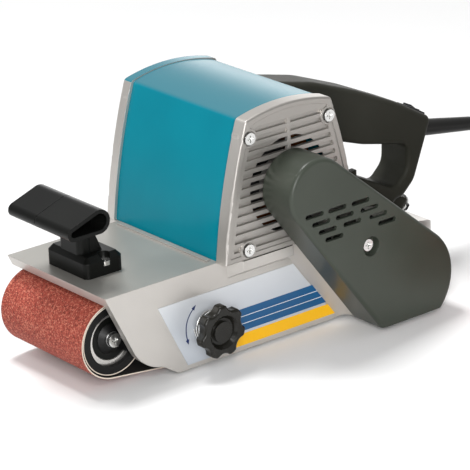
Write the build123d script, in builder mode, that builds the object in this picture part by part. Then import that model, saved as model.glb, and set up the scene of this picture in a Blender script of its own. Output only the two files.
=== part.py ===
from build123d import *
import math
import os

os.makedirs("parts", exist_ok=True)

# Electric belt sander. Millimetres. The origin is the centre of the sanding face.
# The front is -X, the drive side with its belt guard is -Y, and up is +Z.

# Sanding belt, rollers and sole
belt_width = 105.0
belt_thick = 1.0
belt_gap = 0.3  # room between the belt and what it runs over
wheelbase = 244.0  # between the two roller axes
idler_radius = 29.2
idler_crown = 0.8  # the front roller is barrelled by this much
idler_lift = 7.5  # rise of the belt's front bend over the sanding face
idler_tyre_wall = 8.0
idler_rim_wall = 4.0
idler_rim_recess = 3.4  # the core's rim lies this far inside the tyre's ends
idler_dish = 3.2
drive_radius = 32.2
drive_cover_wall = 5.0
roller_inset = 1.5  # roller ends stand this far inside the belt's edges
nose_back = 62.0  # from the front roller axis to the sole's nose
nose_radius = 12.0
nose_wrap = 60.0  # degrees of the nose that the sole follows
sole_rear_gap = 44.0  # from the sole's end to the drive roller axis
sole_inset = 2.0
graphite_thick = 1.5
cork_thick = 3.0
sole_thick = 3.0

# Base casting
skirt_gap = 9.5  # between the belt's edge and the skirt
skirt_wall = 7.0
skirt_foot = 2.4
skirt_bend_height = 30.5
skirt_toe_back = 49.9  # behind the deck's front edge
skirt_toe_height = 12.0
skirt_heel_back = 64.4
skirt_toe_bulge = 1.5
deck_top = 80.7
deck_thick = 8.8
deck_nose = 18.4  # the deck reaches this far before the front roller axis
deck_lean = 64.5  # degrees of the front cut from level
deck_overhang = 4.3  # past the belt's far edge
ledge_width = 4.5
ledge_height = 1.6
hood_lead = 24.0  # the hood begins this far before the drive roller axis
hood_tail = 85.0  # and ends this far behind it
hood_fall = 15.9  # degrees
hood_round = 33.0
hood_wall = 4.0
hood_foot = 12.0
hood_corner = 42.0
hood_far_corner = 8.0
pad_draft = 6.9  # the drive pad's walls spread by this much towards the skirt
tongue_lead = 48.9  # before the motor axis
tongue_drop = 8.2

# Motor housing
motor_lead = 92.0  # the motor axis lies before the drive roller axis
motor_z = 131.0
mantle_side_room = 13.5  # the mantle's foot spreads past the stator
mantle_shoulder_half = 39.7
mantle_shoulder_z = 189.7
mantle_apex_z = 195.5
mantle_bulge = 3.1
mantle_wall = 3.0
mantle_far_y = 60.0
mantle_edge_round = 4.0
mantle_boss_radius = 6.0
shield_depth = 12.0
shield_far_depth = 10.0
shield_proud = 2.4  # the end covers stand out from the mantle
shield_crown_proud = 0.6
shield_face = 4.0
shield_wall = 5.0
shield_edge_round = 1.6
shield_rim = 4.5  # raised edge round the louvred panel
shield_panel_sink = 0.8
grille_pitch = 7.0
grille_slot = 3.6
grille_groove_depth = 2.8
grille_margin = 8.0
grille_count = 14
grille_first_z = 90.5
grille_open_radius = 38.0
grille_rib = 3.0
shield_screw_half_top = 39.0
shield_screw_half_foot = 43.4
shield_screw_top_z = 176.5
shield_screw_foot_z = 88.5
shield_boss_radius = 7.5
shield_sink = 2.0

# Screws
screw_radius = 2.5
screw_head_radius = 4.85
screw_head_height = 3.4
screw_length = 16.0
screw_clearance = 0.1
screw_sink_room = 1.0  # round the heads in their sinks
cross_length = 5.4
cross_width = 1.1
cross_depth = 1.6

# Motor inside
bearing_radius = 17.5
bearing_bore = 7.5
bearing_width = 11.0
bearing_lid = 1.5
seat_clearance = 0.02
shaft_clearance = 0.03
stator_gap = 0.3  # between the stator and the deck that it stands on
stator_length = 66.0
stator_near_y = -36.0
rotor_radius = 30.0
air_gap = 0.4
winding_outer = 46.0
winding_inner = 33.0
winding_length = 12.0
fan_radius = 40.0
fan_width = 11.0
fan_hub_radius = 12.0
fan_blades = 9
fan_blade_thick = 2.0
fan_gap = 1.5

# Drive
drive_ratio = 1.8
motor_pulley_radius = 12.5
pulley_width = 16.0
pulley_gap = 7.0  # between the drive pad's face and the pulleys
pulley_flange = 1.5
ribbed_belt_thick = 2.2
ribbed_belt_width = 12.0
rib_count = 4
rib_width = 1.6
rib_depth = 1.0
pulley_belt_gap = 0.3
nut_height = 5.0
nut_width = 19.0
guard_small_radius = 28.0
guard_large_radius = 43.3
guard_flat = 4.2
guard_depth = 33.5
guard_wall = 3.0
guard_round = 3.4
guard_screw_lead = 41.7  # before the drive roller axis
guard_screw_z = 75.4
guard_boss_radius = 9.8
guard_sink_radius = 8.0
guard_sink_depth = 7.0
guard_slot_length = 18.0
guard_slot_width = 3.7
guard_slot_columns = (
    ((-5.6, 115.4), (6.3, -7.6)),
    ((17.0, 115.1), (7.3, -7.5)),
    ((40.4, 114.7), (8.8, -7.6)),
)  # first slot from the motor axis, and the step to the next
guard_slot_counts = (4, 3, 4)

# Front roller carrier
arm_gap = 1.5
arm_thick = 4.5
arm_root = 7.0  # the arms begin this far behind the roller axis
arm_web = 6.0
arm_half_height = 10.0
yoke_room = 8.8  # between the front roller and the yoke
yoke_depth = 14.0
yoke_half_height = 14.0
tongue_half_width = 12.0
tongue_half_height = 7.0
tongue_clearance = 0.4
tongue_side_room = 3.0
pin_radius = 4.0
pin_clearance = 0.05
slider_radius = 8.0
slider_clearance = 0.05
slider_reach = 98.0  # past the inner frame's front
slider_travel = 6.0
collar_radius = 14.0
collar_back = 28.0  # behind the inner frame's front
collar_thick = 4.0
hub_base_radius = 12.0
hub_top_radius = 7.5
hub_thick = 2.8
hub_gap = 0.4
hub_screw_radius = 5.6
hub_screw_height = 3.4
idler_bearing_radius = 14.0
idler_bearing_bore = 6.0
idler_bearing_width = 8.0
cap_thick = 2.2
cap_gap = 0.4
drive_recess_depth = 12.0
drive_hub_radius = 13.0
tongue_past_yoke = 5.0
tongue_past_pin = 2.0
tail_past_screw = 5.0
tail_half_height = 7.0

# Inner frame
frame_lead_room = 6.0  # left before the frame when the slider is pushed back
frame_tail_room = 9.8  # between the frame and the drive roller
frame_top = 58.0
frame_far_wall = 7.0
frame_side_gap = 2.0  # between the belt edge plane and the far wall
frame_wall = 12.0
frame_floor = 6.0
frame_mid_back = 62.0  # middle wall behind the frame's front
frame_mid_wall = 10.0
frame_arm_half = 16.0
frame_boss_radius = 21.5
frame_boss_lid = 2.0
frame_bolt_radius = 4.0
frame_bolt_head = 7.0
frame_bolt_head_height = 4.5
frame_bolt_length = 24.0
frame_bolt_steps = ((44.0, 22.0), (44.0, 46.0), (102.0, 22.0), (88.0, 46.0))  # behind its front, and up

# Tension and tracking
tension_wire = 2.6
tension_coil_radius = 11.3
tension_turns = 6
track_back = 21.5  # behind the yoke
track_z = 34.5
track_tip_gap = 0.8
track_screw_radius = 4.0
bush_radius = 7.0
knob_radius = 21.0
knob_flutes = 7
knob_flute_radius = 8.0
knob_waist = 17.6
knob_turn = 12.0
knob_depth = 8.0
knob_stand = 15.0  # knob's back over the skirt face
knob_hub_radius = 8.0
knob_hub_length = 6.0
knob_recess_outer = 13.5
knob_recess_floor = 10.6
knob_recess_inner = 8.4
knob_recess_depth = 3.5
knob_dish_depth = 0.8
knob_lid = 5.0
knob_lobe_radius = 2.6
knob_edge_round = 2.0
spring_gap = 0.2
track_wire = 1.6
track_coil_radius = 12.2
track_turns = 4
plate_thick = 0.6
plate_top = 59.8
plate_foot = 6.4
plate_top_back = 47.5  # leading corners behind the deck's front edge
plate_foot_back = 73.3
plate_gap = 0.6

# Front grip
grip_foot_back = 12.4  # behind the deck's front edge
grip_foot_length = 35.0
grip_foot_near = -29.5
grip_foot_far = 22.4
grip_foot_height = 16.0
grip_foot_round = 5.0
grip_bar_near = -46.0
grip_bar_far = 31.0
grip_tip_lead = 20.5  # before the foot
grip_tip_z = 127.5
grip_tip_radius = 5.5
grip_heel_back = 3.0  # behind the foot's front
grip_heel_z = 131.5
grip_heel_radius = 9.5
grip_wall = 3.0
grip_neck_back = 3.3
grip_neck_length = 13.0
grip_neck_width = 28.0
grip_neck_flare = 8.5  # the neck's rear spreads by this much towards the foot
grip_screw_side = 4.2  # from the foot's edges to the screw axes
grip_screw_back = 19.5
grip_screw_lift = 7.3  # screw seats over the deck
grip_foot_bevel = 4.0
grip_seam_width = 0.5
grip_seam_depth = 0.3

# Main handle
handle_y = -6.0
handle_width = 35.0
handle_round = 5.5
handle_loop_round = 4.0
handle_wall = 4.0
handle_seat_gap = 0.2
leg_step = 64.0  # the leg's foot steps down here, behind the drive roller axis
leg_heel = 74.0
leg_foot = 61.0
leg_round = 6.0
handle_corners = (
    ((-60.0, 191.0), 0.0),
    ((-16.0, 180.5), 90.0),
    ((28.0, 163.5), 120.0),
    ((70.0, 144.0), 90.0),
    ((107.0, 122.5), 6.0),
    ((87.5, 73.0), 20.0),
    ((leg_heel, leg_foot), 9.0),
    ((leg_step, leg_foot), leg_round),
    ((leg_step, 45.5), 0.0),
    ((-60.0, 45.5), 0.0),
)  # behind the drive roller axis, up, and the corner's radius
loop_corners = (
    ((-12.0, 132.5), 6.0),
    ((32.0, 117.0), 60.0),
    ((79.5, 105.5), 7.0),
    ((78.5, 84.0), 14.0),
    ((65.0, 71.5), 8.0),
    ((-12.0, 111.0), 6.0),
)
handle_screw_steps = ((-20.0, 158.0), (46.0, 136.0), (87.5, 92.0), (0.0, 90.0))
handle_boss_radius = 5.5
handle_screw_radius = 3.6
handle_screw_sink = 3.0
handle_screw_height = 2.2
handle_screw_shank = 1.8
handle_screw_length = 20.0
bolt_back = 84.0  # behind the drive roller axis
bolt_z = 50.0
bolt_fall = 39.0
bolt_radius = 3.0
bolt_head_radius = 4.6
bolt_head_height = 6.5
bolt_length = 24.0
washer_radius = 8.0
washer_thick = 1.8
lug_back = 19.0
lug_z = 99.0
lug_width = 6.0
lug_height = 11.0
lug_proud = 1.5
stub_half = 5.6

# Switch
switch_share = 0.75  # its place along the handle's rear slope
switch_length = 15.0
switch_breadth = 14.0
switch_depth = 9.0
switch_lip = 1.6
switch_lip_edge = 1.5
rocker_length = 10.8
rocker_breadth = 9.4
rocker_rise = 4.8  # over its pivot
rocker_valley = 4.1
rocker_keel = 4.2
rocker_room = 0.5
rocker_angle = 9.0  # travel between on and off
pivot_sink = 2.0
pivot_radius = 1.5
pivot_reach = 1.0

# Cord
relief_back = 104.5  # behind the drive roller axis
relief_z = 110.0
relief_fall = 10.0
relief_root = 5.0
relief_length = 60.0
relief_start_radius = 7.2
relief_end_radius = 5.8
relief_clearance = 0.1
cord_diameter = 9.5
cord_in_relief = 8.0
cord_lead_out = 29.0
cord_corners = ((342.0, -19.0, 68.0), (364.0, -45.0, 34.0), (372.0, -74.0, 14.0))
cord_landing_y = -96.0
coil_start_y = -114.0
coil_lead = 10.0
coil_step = 10.1  # spacing of the coil's turns and layers
coil_inner_radius = 38.5
coil_turns_per_layer = 2
coil_quarters = 29
coil_tail = 76.0
tie_thick = 1.4
tie_width = 10.0
tie_gap = 0.8
floor_gap = 0.3
plug_gland_radius = 12.0
plug_gland_length = 18.0
plug_grip_radius = 22.0
plug_grip_length = 36.0
plug_collar_length = 8.0
plug_shell_radius = 27.0
plug_shell_length = 32.0
plug_shell_wall = 3.0
plug_entry = 24.0
plug_pin_radius = 2.5
plug_pin_length = 26.0
plug_pin_ring = 14.0
plug_pin_count = 4

# Places worked out from the sizes above
idler_x = -wheelbase / 2
drive_x = wheelbase / 2
motor_x = drive_x - motor_lead
stator_radius = motor_z - deck_top - stator_gap
mantle_foot_half = stator_radius + mantle_side_room
idler_bend = idler_radius + belt_gap
drive_bend = drive_radius + belt_gap
idler_z = idler_lift + belt_thick + idler_bend
drive_z = belt_thick + drive_bend
nose_x = idler_x + nose_back
nose_z = belt_thick + nose_radius
belt_edge = belt_width / 2
roller_end = belt_edge - roller_inset
skirt_in_y = -(belt_edge + skirt_gap)
skirt_out_y = skirt_in_y - skirt_wall
pad_y = skirt_out_y - shield_depth
guard_y = pad_y - guard_depth
deck_far_y = belt_edge + deck_overhang
deck_under = deck_top - deck_thick
deck_front_x = idler_x - deck_nose
sole_end = drive_x - sole_rear_gap
hood_x = drive_x - hood_lead
hood_end = drive_x + hood_tail
shield_far_y = mantle_far_y + shield_far_depth
hood_centre_x = hood_end - hood_round
hood_normal = (math.sin(math.radians(hood_fall)), math.cos(math.radians(hood_fall)))
hood_reach = hood_normal[0] * (hood_x - hood_centre_x) + hood_normal[1] * deck_top - hood_round
hood_centre_z = hood_reach / hood_normal[1]
drive_pulley_radius = motor_pulley_radius * drive_ratio
pulley_near_y = pad_y - pulley_gap - pulley_width
pulley_far_y = pad_y - pulley_gap
pulley_mid_y = (pulley_near_y + pulley_far_y) / 2
arm_in_y = roller_end + arm_gap
arm_out_y = arm_in_y + arm_thick
yoke_front = idler_x + idler_radius + yoke_room
yoke_back = yoke_front + yoke_depth
pin_x = yoke_front + yoke_depth / 2
yoke_foot = idler_z - yoke_half_height
yoke_top = idler_z + yoke_half_height
frame_front = yoke_back + slider_travel + frame_lead_room
frame_rear = drive_x - drive_radius - frame_tail_room
frame_mid_x = frame_front + frame_mid_back
frame_bolt_places = [(frame_front + back, z) for back, z in frame_bolt_steps]
collar_x = frame_front + collar_back
slider_back = frame_front + slider_reach
track_x = yoke_back + track_back
frame_foot = nose_z - nose_radius + belt_gap + graphite_thick + cork_thick + sole_thick
frame_far_in = belt_edge + frame_side_gap
frame_far_y = frame_far_in + frame_far_wall
frame_near_in = skirt_in_y + frame_wall
knob_back_y = skirt_out_y - knob_stand
shield_screw_places = (
    (motor_x - shield_screw_half_top, shield_screw_top_z),
    (motor_x + shield_screw_half_top, shield_screw_top_z),
    (motor_x - shield_screw_half_foot, shield_screw_foot_z),
    (motor_x + shield_screw_half_foot, shield_screw_foot_z),
)
cord_radius = cord_diameter / 2
guard_screw_x = drive_x - guard_screw_lead
grip_foot_x = deck_front_x + grip_foot_back
grip_screw_x = grip_foot_x + grip_screw_back
grip_screw_seat = deck_top + grip_screw_lift
grip_screw_ys = (grip_foot_near + grip_screw_side, grip_foot_far - grip_screw_side)
handle_near_y = handle_y - handle_width / 2
handle_far_y = handle_y + handle_width / 2
handle_outline = [((drive_x + x, z), radius) for (x, z), radius in handle_corners]
handle_loop = [((drive_x + x, z), radius) for (x, z), radius in loop_corners]
handle_screw_places = [(drive_x + x, z) for x, z in handle_screw_steps]
lug_x = drive_x + lug_back
bolt_x = drive_x + bolt_back


def falling(angle):
    # Heading in the XZ plane that falls from +X by an angle in degrees
    return (math.cos(math.radians(angle)), 0, -math.sin(math.radians(angle)))


slope_top, slope_foot = handle_outline[3][0], handle_outline[4][0]
switch_x = slope_top[0] + switch_share * (slope_foot[0] - slope_top[0])
switch_z = slope_top[1] + switch_share * (slope_foot[1] - slope_top[1])
switch_fall = math.degrees(math.atan2(slope_top[1] - slope_foot[1], slope_foot[0] - slope_top[0]))
relief_plane = Plane((drive_x + relief_back, handle_y, relief_z), z_dir=falling(relief_fall))
bolt_plane = Plane((bolt_x, handle_y, bolt_z), z_dir=falling(bolt_fall))
switch_plane = Plane(
    (switch_x, handle_y, switch_z), x_dir=falling(switch_fall), z_dir=falling(switch_fall - 90)
)


def rod(plane, radius, start, end, mode=Mode.ADD):
    # Cylinder along a plane's normal
    with Locations(plane.offset((start + end) / 2)):
        Cylinder(radius, abs(end - start), mode=mode)


def side(y):
    return Plane((0, y, 0), x_dir=(1, 0, 0), z_dir=(0, -1, 0))


def disc(x, z, radius, y_from, y_to, mode=Mode.ADD):
    with Locations(Location((x, (y_from + y_to) / 2, z), (90, 0, 0))):
        Cylinder(radius, abs(y_to - y_from), mode=mode)


def block(x_span, y_span, z_span, mode=Mode.ADD):
    spans = (x_span, y_span, z_span)
    with Locations(tuple((low + high) / 2 for low, high in spans)):
        Box(*(abs(high - low) for low, high in spans), mode=mode)


def hull(plane, circles):
    # Outline of a tight band round circles that are given anticlockwise
    headings = []
    for index, (x, z, radius) in enumerate(circles):
        next_x, next_z, next_radius = circles[(index + 1) % len(circles)]
        reach = math.hypot(next_x - x, next_z - z)
        heading = math.atan2(next_z - z, next_x - x) - math.acos((radius - next_radius) / reach)
        headings.append(heading)
    with BuildSketch(plane) as outline:
        with BuildLine():
            for index, (x, z, radius) in enumerate(circles):
                start = headings[index - 1]
                sweep_angle = (headings[index] - start) % (2 * math.pi)
                end = start + sweep_angle
                CenterArc((x, z), radius, math.degrees(start), math.degrees(sweep_angle))
                next_x, next_z, next_radius = circles[(index + 1) % len(circles)]
                Line(
                    (x + radius * math.cos(end), z + radius * math.sin(end)),
                    (next_x + next_radius * math.cos(end), next_z + next_radius * math.sin(end)),
                )
        make_face()
    return outline.sketch


def belt_outline(plane, grow):
    return hull(
        plane,
        (
            (nose_x, nose_z, nose_radius + grow),
            (drive_x, drive_z, drive_bend + grow),
            (idler_x, idler_z, idler_bend + grow),
        ),
    )


def guard_hull(plane, inset):
    return hull(
        plane,
        (
            (motor_x, motor_z, guard_small_radius - inset),
            (drive_x, drive_z, guard_large_radius - inset),
        ),
    )


def guard_outline(plane, inset, flat, top):
    with BuildSketch(plane) as outline:
        add(guard_hull(Plane.XY, inset))
        with Locations(((motor_x + drive_x) / 2, (flat + top) / 2)):
            Rectangle(4 * wheelbase, top - flat, mode=Mode.INTERSECT)
    return outline.sketch


def drive_band(plane, grow):
    return hull(
        plane,
        (
            (motor_x, motor_z, motor_pulley_radius + grow),
            (drive_x, drive_z, drive_pulley_radius + grow),
        ),
    )


def motor_outline(plane, side_grow, crown_grow):
    foot = mantle_foot_half + side_grow
    shoulder = mantle_shoulder_half + side_grow
    shoulder_z = mantle_shoulder_z + crown_grow
    middle = (foot + shoulder) / 2 + mantle_bulge
    middle_z = (deck_top + shoulder_z) / 2
    with BuildSketch(plane) as outline:
        with BuildLine():
            ThreePointArc(
                (motor_x - shoulder, shoulder_z),
                (motor_x - middle, middle_z),
                (motor_x - foot, deck_top),
            )
            Line((motor_x - foot, deck_top), (motor_x + foot, deck_top))
            ThreePointArc(
                (motor_x + foot, deck_top),
                (motor_x + middle, middle_z),
                (motor_x + shoulder, shoulder_z),
            )
            ThreePointArc(
                (motor_x + shoulder, shoulder_z),
                (motor_x, mantle_apex_z + crown_grow),
                (motor_x - shoulder, shoulder_z),
            )
        make_face()
        fillet(outline.vertices().sort_by(Axis.Y)[-2:], mantle_edge_round)
    return outline.sketch


def hood_outline(plane, inset, foot):
    reach = hood_round - inset
    start = (hood_x, deck_top - inset / hood_normal[1])
    turn = (hood_centre_x + reach * hood_normal[0], hood_centre_z + reach * hood_normal[1])
    end = (hood_centre_x + reach, hood_centre_z)
    with BuildSketch(plane) as outline:
        with BuildLine():
            Line(start, turn)
            CenterArc((hood_centre_x, hood_centre_z), reach, 90 - hood_fall, hood_fall - 90)
            Polyline(end, (end[0], foot), (hood_x, foot), start)
        make_face()
    return outline.sketch


def sole_layer(outer, thick):
    inner = outer - thick
    wrap_end = math.radians(-90 - nose_wrap)
    tip = (math.cos(wrap_end), math.sin(wrap_end))
    with BuildSketch(side(belt_edge - sole_inset)) as outline:
        with BuildLine():
            Line((sole_end, nose_z - outer), (nose_x, nose_z - outer))
            CenterArc((nose_x, nose_z), outer, -90, -nose_wrap)
            Line(
                (nose_x + outer * tip[0], nose_z + outer * tip[1]),
                (nose_x + inner * tip[0], nose_z + inner * tip[1]),
            )
            CenterArc((nose_x, nose_z), inner, -90 - nose_wrap, nose_wrap)
            Polyline(
                (nose_x, nose_z - inner),
                (sole_end, nose_z - inner),
                (sole_end, nose_z - outer),
            )
        make_face()
    return outline.sketch


def loop_face(plane, corners):
    points = [point for point, radius in corners]
    radii = [radius for point, radius in corners]
    with BuildSketch(plane) as outline:
        with BuildLine():
            FilletPolyline(*points, radius=radii, close=True)
        make_face()
    return outline.sketch


def cross_screw(x, z, seat_y, outward, length, head_radius, head_height, radius):
    # Pan head screw along Y: the head lies outside its seat, with a cross recess
    top = seat_y + outward * head_height
    disc(x, z, head_radius, seat_y, top)
    disc(x, z, radius, seat_y, seat_y - outward * length)
    recess = top - outward * cross_depth
    half = cross_length / 2
    thin = cross_width / 2
    block((x - half, x + half), sorted((recess, top)), (z - thin, z + thin), Mode.SUBTRACT)
    block((x - thin, x + thin), sorted((recess, top)), (z - half, z + half), Mode.SUBTRACT)


def biarcs(points, tangents):
    # Two tangent arcs for each stretch, which meet halfway
    for index in range(len(points) - 1):
        start = Vector(*points[index])
        end = Vector(*points[index + 1])
        leave = Vector(*tangents[index]).normalized()
        arrive = Vector(*tangents[index + 1]).normalized()
        chord = end - start
        bend = 2 * leave.dot(arrive) - 2
        along = -2 * chord.dot(leave + arrive)
        span = chord.dot(chord)
        reach = (-along - math.sqrt(along * along - 4 * bend * span)) / (2 * bend)
        first = start + leave * reach
        second = end - arrive * reach
        middle = (first + second) * 0.5
        TangentArc(start, middle, tangent=leave)
        TangentArc(middle, end, tangent=second - first)


def least_gap(wire, diameter, name):
    # Gap between stretches of a wound tube that aren't neighbours along it
    count = int(wire.length / (diameter * 0.4))
    points = [tuple(wire.position_at(index / count)) for index in range(count + 1)]
    skip = int(count * math.pi * diameter / wire.length) + 1
    gap = min(
        math.dist(points[index], other)
        for index in range(count)
        for other in points[index + skip :]
    )
    print(f"{name}: length {wire.length:.1f}, least gap {gap - diameter:.2f}")


def prism(outline, y_from, y_to, mode=Mode.ADD):
    # Slab along Y of an outline that is given as a function of its plane
    high = max(y_from, y_to)
    extrude(outline(side(high)), amount=abs(y_to - y_from), mode=mode)


def bar(x_from, x_to, y, z, radius, mode=Mode.ADD):
    with Locations(Location(((x_from + x_to) / 2, y, z), (0, 90, 0))):
        Cylinder(radius, abs(x_to - x_from), mode=mode)


def post(x, y, radius, z_from, z_to, mode=Mode.ADD):
    with Locations((x, y, (z_from + z_to) / 2)):
        Cylinder(radius, abs(z_to - z_from), mode=mode)


def grille(plane, open_part):
    # Level louvres inside the end cover's margin, clear of its screws and middle rib
    with BuildSketch(plane) as louvres:
        for row in range(grille_count):
            with Locations((motor_x, grille_first_z + row * grille_pitch)):
                Rectangle(4 * mantle_foot_half, grille_slot)
        add(motor_outline(Plane.XY, shield_proud - grille_margin, -grille_margin), mode=Mode.INTERSECT)
        if open_part:
            with Locations((motor_x, motor_z)):
                Circle(grille_open_radius, mode=Mode.INTERSECT)
                Circle(bearing_radius + shield_face, mode=Mode.SUBTRACT)
        with Locations((motor_x, motor_z + mantle_foot_half)):
            Rectangle(grille_rib, 2 * mantle_foot_half, mode=Mode.SUBTRACT)
        with Locations(*shield_screw_places):
            Circle(shield_boss_radius, mode=Mode.SUBTRACT)
    return louvres.sketch


def shield_panel(plane):
    # Area inside the end cover's raised edge and screw bosses
    with BuildSketch(plane) as panel:
        add(motor_outline(Plane.XY, shield_proud - shield_rim, shield_crown_proud - shield_rim))
        with Locations((motor_x, deck_top)):
            Rectangle(4 * mantle_foot_half, 2 * shield_rim, mode=Mode.SUBTRACT)
        with Locations(*shield_screw_places):
            Circle(shield_boss_radius, mode=Mode.SUBTRACT)
    return panel.sketch


def end_cover(cover, y_in, y_out, bearing_in, bearing_out):
    # Dished end cover with a louvred face, four screw bosses and a bearing boss
    outward = math.copysign(1, y_out - y_in)
    face_in = y_out - outward * shield_face
    prism(lambda plane: motor_outline(plane, shield_proud, shield_crown_proud), y_in, y_out)
    face = cover.faces().sort_by(Axis.Y)[-1 if outward > 0 else 0]
    fillet(face.edges(), shield_edge_round)
    prism(
        lambda plane: motor_outline(plane, shield_proud - shield_wall, shield_crown_proud - shield_wall),
        y_in,
        face_in,
        Mode.SUBTRACT,
    )
    block(
        (motor_x - mantle_foot_half, motor_x + mantle_foot_half),
        sorted((y_in, y_out - outward * shield_edge_round)),
        (deck_top, deck_top + shield_wall),
    )
    prism(shield_panel, y_out - outward * shield_panel_sink, y_out, Mode.SUBTRACT)
    disc(motor_x, motor_z, bearing_radius + shield_face, bearing_in, face_in)
    for x, z in shield_screw_places:
        disc(x, z, shield_boss_radius, y_in, face_in)
        disc(x, z, screw_radius + screw_clearance, y_in, y_out, Mode.SUBTRACT)
        disc(x, z, screw_head_radius + screw_sink_room, y_out - outward * shield_sink, y_out, Mode.SUBTRACT)
    prism(lambda plane: grille(plane, False), y_out - outward * grille_groove_depth, y_out, Mode.SUBTRACT)
    prism(lambda plane: grille(plane, True), face_in, y_out, Mode.SUBTRACT)
    disc(motor_x, motor_z, bearing_radius + seat_clearance, bearing_in, bearing_out, Mode.SUBTRACT)


# Space for the drive roller under the rear hood
with BuildPart() as roller_room:
    prism(lambda plane: hood_outline(plane, hood_wall, -hood_foot), skirt_in_y, deck_far_y + hood_wall)
    with BuildSketch(Plane.XY.offset(-hood_foot)) as room_corner:
        corner = hood_corner - hood_wall
        with Locations((hood_end - hood_corner + corner / 2, skirt_in_y + corner / 2)):
            Rectangle(corner, corner)
        with Locations((hood_end - hood_corner, skirt_out_y + hood_corner)):
            Circle(corner, mode=Mode.SUBTRACT)
    extrude(amount=deck_top + hood_foot, mode=Mode.SUBTRACT)

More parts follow.
